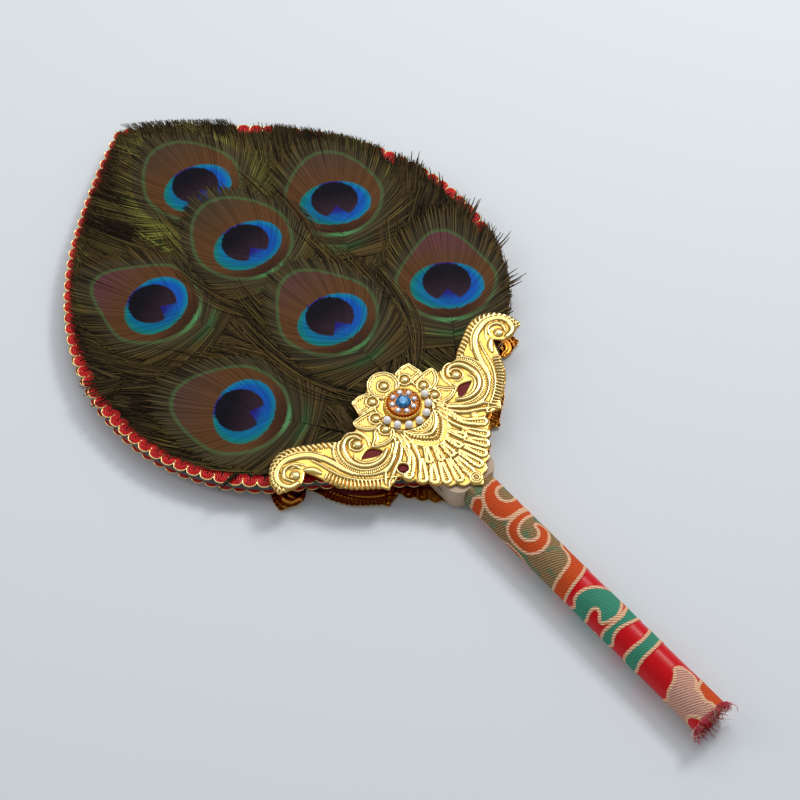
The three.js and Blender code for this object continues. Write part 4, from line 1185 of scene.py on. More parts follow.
# %% Cut the scrolls of the die
die = Die(0.3)
outer_edge = smooth_line(on_plate(upper_border), 80)
outer_edge = outer_edge + side_of(outer_edge) * 1.6
die.hatched(outer_edge, 1.75, 2.3, 1.0, slant=0.5, sharp=0.8)
lower_edge = smooth_line(on_plate(lower_border), 60)
lower_edge = lower_edge + side_of(lower_edge) * 2.0
die.hatched(lower_edge, 2.1, 1.75, 1.05, slant=0.15, sharp=0.9)
die.band([(52, -7.5), (53.5, -4), (56.5, -1.5)], 1.6, 0.9)
outer_scroll = [
    (63.1, -5), (67.5, -4), (69.6, 0.5), (67.5, 5.5), (61.3, 8.0), (54.5, 6.3), (50, 3.2), (46.9, -1.3),
    (44.4, -7.5), (42.5, -13.8), (39.5, -19.4), (35, -23.6), (30, -25.4), (24.4, -23.6), (19.5, -20.5),
    (15.2, -17),
]
die.band(outer_scroll, 1.9, 1.15, taper=0.5)
die.groove(outer_scroll, 0.35, 0.3)
die.band([(68, -6), (71, -3), (71.2, 3), (67.6, 7.9), (61.3, 10.1), (54, 8.4), (49, 5), (45, 0)], 0.5, 0.9)
die.hatched([(48.6, -2.5), (46.4, -8), (44.6, -14), (41.2, -19.6), (36, -24.2), (30, -27)], 0.95, 0.75, 0.8,
            slant=0.8)
die.band([(51, 0.6), (48.9, -5), (47.3, -11), (44.5, -17), (40, -22.5), (34, -27), (29.5, -29)], 0.6, 0.95)
die.band([(57.5, 1.8), (60, 4.6), (64, 4.2), (66, 1), (64.5, -2.4)], 0.9, 0.95)
die.band([(54.5, -0.2), (57, 3.4), (59.8, 5.6), (64, 5.7), (67, 2.6)], 0.45, 0.75)
die.band([(57.2, 0.2), (59, 2.6), (61.5, 3)], 0.6, 0.7)
die.knob((61.6, -0.9), 2.4, 1.3)

# %% Cut the inner volutes
inner_scroll = [
    (26.2, -10.4), (24.6, -6.5), (25.5, -2), (29, 0.9), (33.5, 0.9), (37.6, -1.9), (39.5, -6.5), (39.8, -12),
    (37.2, -17.6), (32.5, -21), (27, -21.8), (21.5, -19.8), (16.5, -15.8),
]
die.hatched([(27, 1.2), (31.5, 1.7), (36, 0.4), (39.8, -3.5), (41, -9), (40, -14.6), (36.6, -19.8),
             (31.5, -22.6), (25.8, -22.8), (20.5, -20.6)], 1.3, 0.95, 0.85)
die.band([(24.2, -9), (23.9, -4), (26.4, 0.8), (31.2, 2.6), (37, 1.1), (41.4, -3.4), (42.5, -9.2),
          (41.2, -15.4), (37.4, -21), (31.8, -24), (25.4, -24), (19.6, -21.4)], 0.45, 0.95)
die.band(inner_scroll, 0.5, 0.95)
die.band([(26.9, -5.5), (28, -2.2), (31.6, -0.9), (35.4, -3), (37.3, -7.5), (37.6, -12.6), (35, -17),
          (30.8, -19.4), (25.6, -19.4), (21, -16.9)], 1.5, 1.15)
die.band([(33.9, -9.2), (35.3, -12), (33.8, -15.4), (30, -17.8), (26, -18), (22.6, -16.6)], 0.5, 0.9)
die.band([(27.3, -8.2), (29.8, -9.6), (32.5, -8.4), (33.4, -5.6), (31.8, -3.2), (29, -3),
          (27.4, -5)], 0.5, 0.9)
die.knob((29.8, -6.2), 2.3, 1.3)

# %% Cut the plumes and the lower fan
plumes = [
    ([(12.2, -13.2), (14.5, -19), (19.5, -24.5), (26.5, -28.3), (32.6, -32.6)], 1.15, 1.0),
    ([(13.6, -12.6), (17, -18), (22.5, -22.6), (29, -25.8), (33.5, -31)], 0.8, 0.95),
    ([(11, -14.5), (12.6, -21.5), (16.6, -28), (21, -31.5), (24.8, -32.2)], 1.2, 1.0),
    ([(9.8, -15.2), (10.4, -23), (13, -30), (17.5, -35.8)], 1.2, 1.0),
]
lower_lobes = [
    ([(0, -41), (0, -50.5)], 1.7, 2.7), ([(3, -38.5), (5.9, -49.6)], 1.5, 2.5),
    ([(6.5, -37), (10.9, -46.5)], 1.5, 2.6), ([(10, -35.5), (15.2, -43.2)], 1.5, 2.6),
    ([(12.4, -31), (18.6, -39.4)], 1.5, 2.6),
]
upper_lobes = [
    ([(13.5, -19), (15.6, -27.5), (22.3, -33.8)], 1.2, 2.6), ([(7, -27.5), (10.2, -33.8)], 1.4, 2.2),
    ([(3.5, -30), (5.5, -36.4)], 1.3, 2.1), ([(0, -30.5), (0, -37.6)], 1.5, 2.3),
]
for line, root_width, tip_width in lower_lobes:
    die.lobe(line, root_width, tip_width, 1.0)
for line, width, height in plumes:
    die.band(line, width, height)
for line, root_width, tip_width in upper_lobes:
    die.lobe(line, root_width, tip_width, 1.1)
die.petal([(25.8, -31.2), (28.6, -29.6), (31.8, -30.6), (34, -33.9), (30, -33.2), (27.5, -32)], 0.9)
die.knob((21.5, -28.5), 2.0, 0.8)
full_turn = np.linspace(0, 2 * math.pi, 13)
lowest = (0, -54.2)
die.disc(lowest, 3.1, 0.3)
for radius, height in ((2.7, 0.9), (1.6, 1.0)):
    die.band(circle(full_turn, radius, lowest), 0.42, height, taper=1)
die.knob(lowest, 0.8, 1.1)

# %% Cut the pendant under the rosette
die.band([(14, -12), (12.3, -17.5), (8.8, -23.2), (4.2, -28), (0, -30.6)], 2.6, 0.75, taper=0.8)
for line in ([(14, -14), (12, -19.5), (8.6, -24.6), (4.4, -28.8), (0, -31)],
             [(11.4, -14.6), (9.6, -19.2), (6.6, -23.6), (3.4, -26.6), (0, -28.6)],
             [(8.8, -16.5), (6.9, -20.4), (3.6, -23.8), (0, -26.2)]):
    die.beads(line, 0.72, 1.45, 1.05)
die.band([(9, -14.5), (6.6, -18.6), (3.4, -22), (0, -23.6)], 1.3, 1.0, taper=0.7)
die.petal([(-8, -14), (-5.4, -19.2), (0, -21.8), (5.4, -19.2), (8, -14), (0, -12)], 0.8)
die.beads([(7.4, -13.2), (5.2, -16.6), (0, -18.6)], 0.6, 1.3, 0.9)

# %% Cut the petals round the rosette
die.petal([(15, -5.2), (19.5, -5.6), (22.2, -8.6), (25.8, -11.5), (23.4, -13.6), (19.5, -15), (14.5, -14.2),
           (11.5, -10)], 1.0)
die.petal([(10.5, 4.2), (15, 4.6), (20, 4.9), (24.4, 4.4), (24.2, 0.6), (21.8, -3.4), (18, -5.4),
           (13.5, -5)], 1.05)
die.petal([(6.4, 9.8), (8.6, 12.8), (12.6, 14.1), (17.6, 13.4), (18.3, 9.6), (19.2, 5.4), (13, 4.4),
           (7.5, 5)], 1.1)
crest_ring = np.linspace(-0.5 * math.pi, 1.5 * math.pi, 25)[:-1]
die.petal(circle(crest_ring, crest_radius, crest_middle), 1.15)
for middle in ((0, 10.6), (9.8, 7.2), (14.4, -0.9), (14.8, -8.2)):
    die.disc(middle, 3.2, 0.35)
    die.band(circle(full_turn, 3.0, middle), 0.5, 1.0, taper=1)
    die.knob(middle, 2.1, 1.3)
rosette = np.array([0, -rosette_drop])
seat_radius = 9.4
seat_height = 0.05
pearl_seat_radius = 13.7
pearl_seat_top = -2.2
from_rosette = np.linalg.norm(die_points - rosette, axis=1)
under_pearls = (from_rosette < pearl_seat_radius) & (die_points[:, 1] < pearl_seat_top)
die.height = np.where((from_rosette < seat_radius) | under_pearls, seat_height, die.height)
pearl_turn = np.linspace(-0.52 * math.pi, 0.02 * math.pi, 24)
die.band(circle(pearl_turn, pearl_seat_radius, rosette), 0.45, 0.7, taper=1)
print("the die is cut up to", round(float(die.height.max()), 2), "mm high")

# %% [markdown]
# The plates are brass sheet, stamped and gilded: bright warm metal, a little soft in its reflections. Every
# point keeps how far it lies below its surroundings: crests are painted paler, as painted highlight, and
# hollows darker, as painted shade. Steep walls are painted more orange, as a painted reflection of one wall
# in the next. The inside is duller.

# %% Make the gilt
gilt_material, tree, shader = new_material("stamped gilt sheet", Metallic=0.88, Roughness=0.27)
hollow = add_node(tree, "ShaderNodeAttribute", attribute_name="hollow").outputs["Fac"]
# Painted highlight on the crests and painted shade in the hollows, by how far a point lies below its
# surroundings
tint = fade(tree, hollow, -0.12, 0.0, "#fae4a0", "#e2b75c")
tint = fade(tree, hollow, 0.02, 0.18, tint, "#7c581a")
normal = add_node(tree, "ShaderNodeNewGeometry").outputs["Normal"]
facing = add_node(tree, "ShaderNodeSeparateXYZ", (normal,)).outputs["Z"]
level = add_node(tree, "ShaderNodeMath", (facing,), operation="ABSOLUTE")
# Painted reflection: steep walls turn orange, as if lit by the gilt wall opposite
wire(tree, shader, {"Base Color": fade(tree, level, 0.97, 0.45, tint, "#cf8f2c")})
inner_gilt_material = new_material(
    "dull inside of the gilt sheet", Base_Color="#cf8a36", Metallic=1.0, Roughness=0.27)[0]

# %% Press a sheet between the dies
sheet_thickness = 0.5
smoothing_rounds = 6
mirrored = np.arange(-(die_columns - 1), die_columns)
sheet_points = np.stack(np.meshgrid(mirrored * die_pitch, die_along, indexing="ij"), axis=-1).reshape(-1, 2)
plate_face = height_of("front_lining", 1) + 0.1 + sheet_thickness


def on_both_sides(values):
    """Values of the half die's grid, mirrored onto the whole sheet's grid."""
    return values.reshape(die_columns, len(die_along))[np.abs(mirrored)].ravel()


def mean_beside(grid):
    """The mean of the four neighbours of each of a grid's points."""
    padded = np.pad(grid, 1, mode="edge")
    return (padded[:-2, 1:-1] + padded[2:, 1:-1] + padded[1:-1, :-2] + padded[1:-1, 2:]) / 4


def cut_cells(inside):
    """Faces of the grid's cells that lie inside, and the points where its border cuts the cells' sides."""
    rows, deep = len(mirrored), len(die_along)
    index = np.arange(rows * deep).reshape(rows, deep)
    cells = np.stack([index[:-1, :-1], index[1:, :-1], index[1:, 1:], index[:-1, 1:]], axis=-1).reshape(-1, 4)
    within = (inside[cells] > 0).sum(axis=1)
    faces = cells[within == 4].tolist()
    cut = {}
    for cell in cells[(within > 0) & (within < 4)].tolist():
        face = []
        for here, there in zip(cell, cell[1:] + cell[:1]):
            if inside[here] > 0:
                face.append(here)
            if (inside[here] > 0) != (inside[there] > 0):
                key = (min(here, there), max(here, there))
                face.append(cut.setdefault(key, rows * deep + len(cut)))
        faces.append(face)
    return faces, np.array(list(cut))


def press_plate(name, inside, height, over=False):
    """The sheet with its relief, an underside that follows it, and a rim round every edge."""
    faces, cut = cut_cells(inside)
    share = inside[cut[:, 0]] / (inside[cut[:, 0]] - inside[cut[:, 1]])
    border = sheet_points[cut[:, 0]] * (1 - share[:, None]) + sheet_points[cut[:, 1]] * share[:, None]
    smoothed = height.reshape(len(mirrored), len(die_along))
    for _ in range(smoothing_rounds):
        smoothed = mean_beside(smoothed)
    hollow = np.concatenate([smoothed.ravel() - height, np.zeros(len(border))])
    top = np.column_stack([np.concatenate([sheet_points, border]), np.append(height, np.zeros(len(border)))])
    used = np.unique(np.concatenate([np.array(face) for face in faces]))
    renumber = np.full(len(top), -1)
    renumber[used] = np.arange(len(used))
    count = len(used)
    faces = [renumber[face].tolist() for face in faces]
    sides = {(here, there) for face in faces for here, there in zip(face, face[1:] + face[:1])}
    rim = [[there, here, here + count, there + count] for here, there in sorted(sides)
           if (there, here) not in sides]
    under = [[corner + count for corner in face[::-1]] for face in faces]
    solid = np.concatenate([top[used] + [0, 0, plate_face], top[used] + [0, 0, plate_face - sheet_thickness]])
    made = new_mesh_object(name, to_metres(solid), faces=faces + under + rim)
    made.data.materials.append(gilt_material)
    made.data.materials.append(inner_gilt_material)
    owner = np.zeros(len(made.data.polygons), dtype=np.int32)
    owner[len(faces):len(faces) + len(under)] = 1
    made.data.polygons.foreach_set("material_index", owner)
    write_values(made.data, "hollow", np.tile(hollow[used], 2))
    return finish_piece(made, "gilt", name.replace("_stamped", ""), over=over)


# %% [markdown]
# The front plate has a hole near its left drop, with a burr round it, where a nail went through. The back
# plate has a plain round boss where the rosette is on the front, and the fan lies on it.

# %% Press the two plates
rivet_bore = 1.8
edge_fall = 0.5
half_inside = np.minimum(distance_inside(die_points, plate_outline), -distance_inside(die_points, tear_line))
from_middle = np.linalg.norm(sheet_points - rosette, axis=1)
bored = np.minimum(on_both_sides(half_inside), from_middle - rivet_bore)
pressed = die.height.reshape(die_columns, len(die_along))
pressed = 0.6 * pressed + 0.4 * mean_beside(pressed)
relief = on_both_sides(pressed) * np.clip(bored / edge_fall, 0, 1) ** 0.5

from_nail = np.linalg.norm(sheet_points - nail_hole, axis=1)
burr_half_width = 0.6
burr = 0.7 * dome(from_nail - nail_hole_radius - burr_half_width, burr_half_width)
nailed = np.minimum(bored, from_nail - nail_hole_radius)
press_plate("front_stamped_plate", nailed, np.maximum(relief, burr) * np.clip(nailed / 0.4, 0, 1) ** 0.5)

boss_radius = 9.5
boss_recess = 3.5
boss_recess_depth = 1.0
boss_height = (datum[2] - frame_box[0][2]) / mm - plate_face
boss = np.clip((boss_radius - from_middle) / edge_fall, 0, 1) * boss_height
boss = np.where(from_middle < boss_recess, boss_height - boss_recess_depth, boss)
press_plate("back_stamped_plate", bored, np.where(from_middle < boss_radius, boss, relief), over=True)

# %% [markdown]
# ## The linings
# Dark red cloth lies flat behind the drop-shaped holes of each plate. Plain woven cotton is matt, and its
# threads show as fine dark gaps, drawn at 2.2 threads to the millimetre.

# %% Weave the lining's material
lining_material, tree, shader = new_material("dark red plain weave", Roughness=0.8)
place = add_node(tree, "ShaderNodeTexCoord").outputs["Object"]
weave = add_node(tree, "ShaderNodeTexVoronoi", {"Vector": place, "Scale": 2.2 * per_mm})
tint = add_node(tree, "ShaderNodeMix", (weave, "#8e1a14", "#4a0c0a"), **in_colour)
wire(tree, shader, {"Base Color": tint})

# %% Lay the linings
lining_shares = [
    (0.2, 0.12), (0.34, -0.03), (0.5, -0.05), (0.62, 0.03), (0.7, -0.03), (0.62, -0.26), (0.5, -0.4),
    (0.36, -0.46), (0.2, -0.62), (0, -0.84),
]
lining_right = smooth_line(on_plate(lining_shares), 40)
lining_outline = np.concatenate([lining_right, (lining_right * [-1, 1])[::-1][1:]])
after = np.roll(lining_outline, -1, axis=0)
lining_low, lining_high = height_of("front_lining", 0), height_of("front_lining", 1)
for face, over in (("front", False), ("back", True)):
    lining = plate_between(f"{face}_lining_cloth", lining_outline, lining_low, lining_high)
    lining.data.materials.append(lining_material)
    finish_piece(lining, "lining", f"{face}_lining", over=over, smooth=False)

# %% [markdown]
# ## The rosette
# A turned gilt cup with orange enamel holds a setting, a faceted blue stone and a ring of small clear
# stones. Pearls hang below it in a half circle. Turned parts are spun from their profiles, and the beads of
# the cup's rim follow a rule, so Geometry Nodes set them round a circle.

# %% Spin a profile
def spin(name, profile, sides, middle):
    """A turned solid from (radius, height) points. Points on the axis close it."""
    angles = np.arange(sides) / sides * 2 * math.pi
    places, rings = [], []
    for radius, height in profile:
        if radius == 0:
            rings.append([len(places)] * sides)
            places.append((middle[0], middle[1], height))
            continue
        rings.append(list(range(len(places), len(places) + sides)))
        places.extend((*spot, height) for spot in circle(angles, radius, middle))
    faces = []
    closing = rings if profile[0][0] == 0 and profile[-1][0] == 0 else rings + rings[:1]
    for lower, upper in zip(closing, closing[1:]):
        for side in range(sides):
            after = (side + 1) % sides
            face = [lower[side], lower[after], upper[after], upper[side]]
            face = [corner for number, corner in enumerate(face) if corner not in face[:number]]
            if len(face) > 2:
                faces.append(face)
    made = new_mesh_object(name, to_metres(places), faces=faces)
    face_outwards(made)
    return made


# %% Set small balls on points
def bead_tree(name, subdivisions):
    """A tree that sets a small ball on every point of a mesh, sized by the point's half width."""
    tree, start, end = new_tree(name, Material="Material")
    ball = add_node(tree, "GeometryNodeMeshIcoSphere", {"Radius": 1.0, "Subdivisions": subdivisions})
    smooth = add_node(tree, "GeometryNodeSetShadeSmooth", {"Geometry": ball})
    width = add_node(tree, "GeometryNodeInputNamedAttribute", {"Name": "half_width"}, data_type="FLOAT")
    placed = add_node(tree, "GeometryNodeInstanceOnPoints", {
        "Points": start["Geometry"], "Instance": smooth, "Scale": width})
    real = add_node(tree, "GeometryNodeRealizeInstances", {"Geometry": placed})
    coated = add_node(tree, "GeometryNodeSetMaterial", {"Geometry": real, "Material": start["Material"]})
    wire(tree, end, {"Geometry": coated})
    return tree


bead = bead_tree("small balls", 2)


def bead_ring(name, radius, height, count, ball_radius, middle):
    """Balls round a circle, with the polished gilt of every bead."""
    flat = circle(np.arange(count) / count * 2 * math.pi, radius, middle)
    line = Lines()
    line.add(np.column_stack([flat, np.full(count, height)]), ball_radius)
    return run_tree(line.to_object(name), bead, Material=polished_gilt)


# %% [markdown]
# The cup is spun brass, polished and gilded, so its rim mirrors the room in warm tones. Its inside has
# orange enamel: coloured glass, melted onto the metal, which looks wet and lets a little of the metal's
# shine through. A face of the cup takes the enamel by how near it is to the cup's axis.

# %% Make the cup
polished_gilt = new_material("polished gilt", Base_Color="#f0c868", Metallic=0.9, Roughness=0.28)[0]
enamel_material = new_material(
    "orange enamel over gilt", Base_Color="#f08a18", Metallic=0.4, Roughness=0.2, Coat_Weight=1.0)[0]
cup_base, cup_rim = height_of("rosette_cup", 0), height_of("rosette_cup", 1)
cup_radius = half_width_of("rosette_cup")
cup_bore = 3.5
gilt_rim_width = 0.9
cup = spin("rosette_cup_body", [
    (cup_bore, cup_base), (cup_radius - 0.6, cup_base), (cup_radius - 0.15, cup_base + 0.6),
    (cup_radius, cup_rim - 0.6), (cup_radius - 0.2, cup_rim - 0.15), (cup_radius - 0.6, cup_rim),
    (cup_radius - 0.95, cup_rim - 0.2), (cup_radius - 1.1, cup_rim - 0.8), (cup_radius - 1.6, cup_base + 1.1),
    (4.4, cup_base + 0.8), (cup_bore, cup_base + 0.8),
], 72, rosette)
cup.data.materials.append(polished_gilt)
cup.data.materials.append(enamel_material)
cup_axis = datum[:2] + rosette * mm
for face in cup.data.polygons:
    out = math.hypot(face.center.x - cup_axis[0], face.center.y - cup_axis[1])
    inside_cup = out < (cup_radius - gilt_rim_width) * mm and face.normal.z > -0.5
    face.material_index = 1 if inside_cup else 0
rim_beads = bead_ring("rim", cup_radius - 0.4, cup_rim - 0.05, 36, 0.62, rosette)
finish_piece(join_pieces("beaded_rosette_cup", [cup, rim_beads]), "enamel", "rosette_cup")

# %% Make the setting
setting_base, setting_face = height_of("stone_setting", 0), height_of("stone_setting", 1)
setting_radius = half_width_of("stone_setting")
stone_base, stone_top = height_of("blue_stone", 0), height_of("blue_stone", 1)
stone_radius = half_width_of("blue_stone")
setting = spin("setting_body", [
    (0, setting_base), (4.2, setting_base), (setting_radius - 0.1, setting_face - 0.9),
    (setting_radius, setting_face - 0.6), (setting_radius - 0.3, setting_face - 0.25),
    (stone_radius + 0.6, setting_face - 0.15), (stone_radius + 0.35, setting_face + 0.25),
    (stone_radius + 0.12, setting_face + 0.1), (stone_radius + 0.12, setting_face - 0.4),
    (1.6, stone_base - 0.2), (0, stone_base - 0.2),
], 64, rosette)
setting.data.materials.append(enamel_material)
prongs = bead_ring("prongs", setting_radius - 0.15, setting_face - 0.05, 24, 0.38, rosette)
finish_piece(join_pieces("beaded_setting", [setting, prongs]), "gilt", "stone_setting")

# %% [markdown]
# ## Stones and pearls
# The stones are cut glass with foil behind them. Seen through the top, a real one shows its facets behind.
# That takes long to render, so the glass is opaque: every facet is painted its own brightness, and cells
# 1.1 mm wide stand for the facets behind, as painted reflections of the foil. A clear coat gives the sharp
# reflection of a polished face.

# %% Make the foiled glass
def foiled_glass(name, dark, light, metallic):
    """Cut glass over foil, painted from the darkest facet's colour to the lightest one's, as painted
    reflections.
    """
    material, tree, shader = new_material(name, Metallic=metallic, Roughness=0.08, Coat_Weight=1.0)
    place = add_node(tree, "ShaderNodeTexCoord").outputs["Object"]
    inner = add_node(tree, "ShaderNodeTexVoronoi", {"Vector": place, "Scale": 0.9 * per_mm})
    spark = add_node(tree, "ShaderNodeSeparateXYZ", (inner.outputs["Color"],))
    glint = add_node(tree, "ShaderNodeAttribute", attribute_name="glint").outputs["Fac"]
    # Painted reflections: each facet's own brightness, and the cells for the facets behind
    both = add_node(tree, "ShaderNodeMath", (glint, spark, 0.12), operation="MULTIPLY_ADD")
    tint = add_node(tree, "ShaderNodeMix", (both, dark, light), **in_colour)
    wire(tree, shader, {"Base Color": tint})
    return material


blue_material = foiled_glass("blue cut glass over foil", "#04336a", "#2fa8e2", 0.35)
clear_material = foiled_glass("clear cut glass over foil", "#b4a6ac", "#ffffff", 0.4)
print("made", blue_material.name, "and", clear_material.name)

# %% [markdown]
# A brilliant is a convex shape, so its facets needn't be drawn: a skin stretched over the rings of its
# corners gives them all. The blue stone has eight folds and the small clear ones have six.

# %% Cut the stones
def cut_stone(name, radius, base, top, folds, middle):
    """A brilliant: a table, a crown of kite facets, a thin girdle and a pointed pavilion."""
    girdle = base + (top - base) * 0.55
    crown = girdle + (top - base) * 0.06
    shoulder = crown + (top - crown) * 0.62
    lower_facets = base + (girdle - base) * 0.42

    def ring(share, height, turn, count=folds):
        angles = (np.arange(count) + turn) / count * 2 * math.pi
        flat = np.column_stack([np.cos(angles), np.sin(angles)]) * radius * share + middle
        return np.column_stack([flat, np.full(count, height)])

    cloud = np.concatenate([
        ring(0.56, top, 0), ring(0.8, shoulder, 0.5), ring(1.0, crown, 0, folds * 2),
        ring(1.0, girdle, 0, folds * 2), ring(0.55, lower_facets, 0.5), [[*middle, base]]])
    shape = bmesh.new()
    corners = [shape.verts.new(spot) for spot in to_metres(cloud)]
    bmesh.ops.convex_hull(shape, input=corners)
    bmesh.ops.dissolve_limit(shape, angle_limit=math.radians(1), verts=shape.verts, edges=shape.edges)
    mesh = bpy.data.meshes.new(name)
    shape.to_mesh(mesh)
    shape.free()
    glints = mesh.attributes.new("glint", "FLOAT", "FACE")
    glints.data.foreach_set("value", dice.uniform(0, 1, len(mesh.polygons)).astype(np.float32))
    made = bpy.data.objects.new(name, mesh)
    bpy.context.collection.objects.link(made)
    return made


dice = np.random.default_rng(3)
blue_stone = cut_stone("faceted_blue_stone", stone_radius, stone_base, stone_top, 8, rosette)
blue_stone.data.materials.append(blue_material)
finish_piece(blue_stone, "blue_stone", "blue_stone", smooth=False)

girdle_growth = 1.35
for node in sorted(name for name in nodes if name.startswith("small_stone_")):
    base, top = height_of(node, 0), height_of(node, 1) + 0.1
    stone = cut_stone(
        f"faceted_{node}", half_width_of(node) * girdle_growth, base, top, 6, middle_of(node))
    stone.data.materials.append(clear_material)
    finish_piece(stone, "clear_stone", node, smooth=False)

# %% [markdown]
# Each pearl is a glass ball dipped in pearl lacquer: nearly white, with a soft deep gloss. It is a whole
# ball down to the flat on which it is glued to the plate.

# %% Set the pearls
pearl_material = new_material("glass pearl", Base_Color="#fbf8f2", Roughness=0.2, Coat_Weight=0.6)[0]
for node in sorted(name for name in nodes if name.startswith("pearl_")):
    base, top = height_of(node, 0), height_of(node, 1)
    size = half_width_of(node)
    seat_turn = math.asin(max(-1.0, min(1.0, (base - (top - size)) / size)))
    turns = np.linspace(seat_turn, math.pi / 2, 14)
    side = [(math.cos(angle) * size, top - size + math.sin(angle) * size) for angle in turns[:-1]]
    ball = spin(f"round_{node}", [(0, base), *side, (0, top)], 24, middle_of(node))
    ball.data.materials.append(pearl_material)
    finish_piece(ball, "pearl", node)

# %% [markdown]
# ## The brocade sleeve
# The grip is a round bar with brocade stretched and glued round it: red satin with woven scrolls in teal,
# orange and olive, each with a corded cream outline. The motifs are drawn on the unrolled cloth, across and
# along, as closed shapes. Every point of the fine tube keeps how far it is inside each kind of shape.

# %% Draw the motifs on the unrolled cloth
grip_radius = 8.9
sleeve_top, sleeve_end = -56.3, -202.2
around_steps, along_steps = 104, 420


def closed_curve(points, count=90):
    return smooth_line([*points, points[0]], count)[:-1]


orange_shapes = [
    closed_curve([(16, -59), (8, -59.6), (2, -60.6), (-3, -62.4), (-6.2, -66), (-7.8, -71), (-7, -75.6),
                  (-4.4, -79), (0, -80), (8, -79.4), (16, -78), (16, -73), (9, -72.6), (5.4, -73.6),
                  (2, -73), (0.4, -70.8), (0.4, -68), (2.4, -65.4), (6, -64.4), (16, -63.4)]),
    closed_curve([(-18, -61.6), (-12, -61.4), (-8.8, -60.8), (-5.6, -63), (-7, -66.4), (-12, -67.6),
                  (-18, -67.4)]),
    closed_curve([(16, -80.2), (6, -80.8), (-1, -81), (-6, -81.6), (-9.2, -84.4), (-10.4, -89),
                  (-9.8, -95), (-7, -99.2), (-3, -101), (1, -100.4), (4.4, -98), (7.4, -94.6),
                  (7.2, -91.4), (4.8, -89.2), (3, -90.2), (2.6, -92.6), (0.6, -94.8), (-2, -95.2),
                  (-4.8, -92.6), (-5.4, -89), (-3.4, -86), (1, -84.8), (8, -84.2), (16, -83.6)]),
    closed_curve([(-18, -115.6), (-10, -115.2), (-3, -114.6), (2, -113), (5, -109.4), (6, -105), (10, -102.6),
                  (18, -101), (18, -115), (10, -117.4), (3, -120.6), (-3, -122), (-10, -122.6),
                  (-18, -122.8)]),
    closed_curve([(2, -191), (5, -189.8), (10, -188.8), (18, -188), (18, -206), (8, -207), (1.4, -206),
                  (1.4, -200), (0.2, -197), (1.2, -193.6)]),
]
teal_shapes = [
    closed_curve([(-18, -131), (-12, -128.4), (-8, -126.4), (-3, -126.8), (2, -129), (6, -131.6), (10, -134),
                  (12, -137), (9.4, -140), (5, -143), (0, -145.4), (-4, -144.8), (-7, -143.4), (-7.8, -141.6),
                  (-5.2, -139.4), (-4.4, -137), (-6.4, -135.6), (-10, -135.8), (-18, -137)]),
    closed_curve([(-18, -147), (-11, -145.6), (-6, -146.2), (0, -146.8), (5, -145.4), (10, -143.6),
                  (18, -142), (18, -149.4), (10, -150.8), (5, -151.4), (0, -150.8), (-4, -150),
                  (-8, -150.4), (-12, -152), (-18, -153)]),
    closed_curve([(-18, -158.4), (-12, -159.2), (-5, -160), (0, -160.4), (5, -159.4), (10, -157.6),
                  (18, -155.6), (18, -162), (10, -164.2), (5, -165.6), (0, -166.4), (-8, -166.4),
                  (-12, -167), (-18, -167)]),
]
leaf_shapes = [
    closed_curve([(-18, -186.4), (-12, -185), (-8, -183.4), (-4, -182.6), (-1, -180.6), (1, -178.6),
                  (4, -180), (5.6, -184), (5, -187.4), (2.6, -189.6), (0.8, -191.4), (1, -193.6),
                  (0, -197), (1.2, -200), (1.2, -206), (-7, -206), (-7, -200.6), (-9, -197.4),
                  (-12, -196.2), (-18, -195.4)]),
]
ground_shapes = [np.array([(-18, -50), (18, -50), (18, -101), (10, -102.6), (6, -105), (5, -109.4), (2, -113),
                           (-3, -114.6), (-10, -115.2), (-18, -115.6)], dtype=float)]

print("motifs:", len(orange_shapes), "orange,", len(teal_shapes), "teal and", len(leaf_shapes), "pale leaf")

# %% [markdown]
# The cloth goes round the grip as a fine tube. The motifs that were drawn for the top go on round the
# sides: past a fold on either side the pattern runs back, as a mirror image. Woven motifs stand a little
# proud of the satin, and the cords proud of the motifs.

# %% Lay the motifs round the grip
right_fold, left_fold = 9, -12
angles = (np.arange(around_steps) + 0.5) / around_steps * 2 * math.pi - math.pi
rows = np.linspace(sleeve_top, sleeve_end, along_steps)
cloth_across = np.tile(angles * grip_radius, (along_steps, 1))
cloth_along = np.tile(rows[:, None], (1, around_steps))
folded = np.where(cloth_across > right_fold, 2 * right_fold - cloth_across, cloth_across)
folded = np.where(folded < left_fold, 2 * left_fold - folded, folded)
cloth = np.column_stack([folded.ravel(), cloth_along.ravel()])
motifs = {"orange": orange_shapes, "teal": teal_shapes, "leaf": leaf_shapes, "ground": ground_shapes}
inside = {
    name: np.max([distance_inside(cloth, shape) for shape in shapes], axis=0)
    for name, shapes in motifs.items()}
corded = [*orange_shapes, *teal_shapes, *leaf_shapes]
to_cord = np.min([np.abs(distance_inside(cloth, shape)) for shape in corded], axis=0)

cord_height, motif_height = 0.32, 0.12
ridge = cord_height * dome(to_cord, 1.0)
ridge = np.maximum(ridge, np.where(np.max(list(inside.values()), axis=0) > 0, motif_height, 0.0))
radius = (grip_radius - cord_height + ridge).reshape(along_steps, around_steps)
print("share of the cloth inside a motif:", round(float((ridge > 0).mean()), 2))

# %% Weave the sleeve
dice = np.random.default_rng(31)
fray_step = 4
uneven_length = 6
fray = np.interp(np.arange(around_steps), np.arange(0, around_steps + fray_step, fray_step),
                 dice.normal(0, 0.55, around_steps // fray_step + 1))
end_share = np.clip((rows - (sleeve_end + uneven_length)) / -uneven_length, 0, 1)[:, None]
height_along = cloth_along + end_share * fray[None]
flat_until = -60.5
core_half = 6.2
no_flat = 99


def tube_points(radius, flat):
    """Points of the tube, clipped to a half thickness as far down as the handle's flats reach."""
    across = np.sin(angles)[None] * radius
    up = np.cos(angles)[None] * radius
    limit = np.where(cloth_along > flat_until, flat, no_flat)
    return np.stack([across, height_along, np.clip(up, -limit, limit)], axis=-1).reshape(-1, 3)


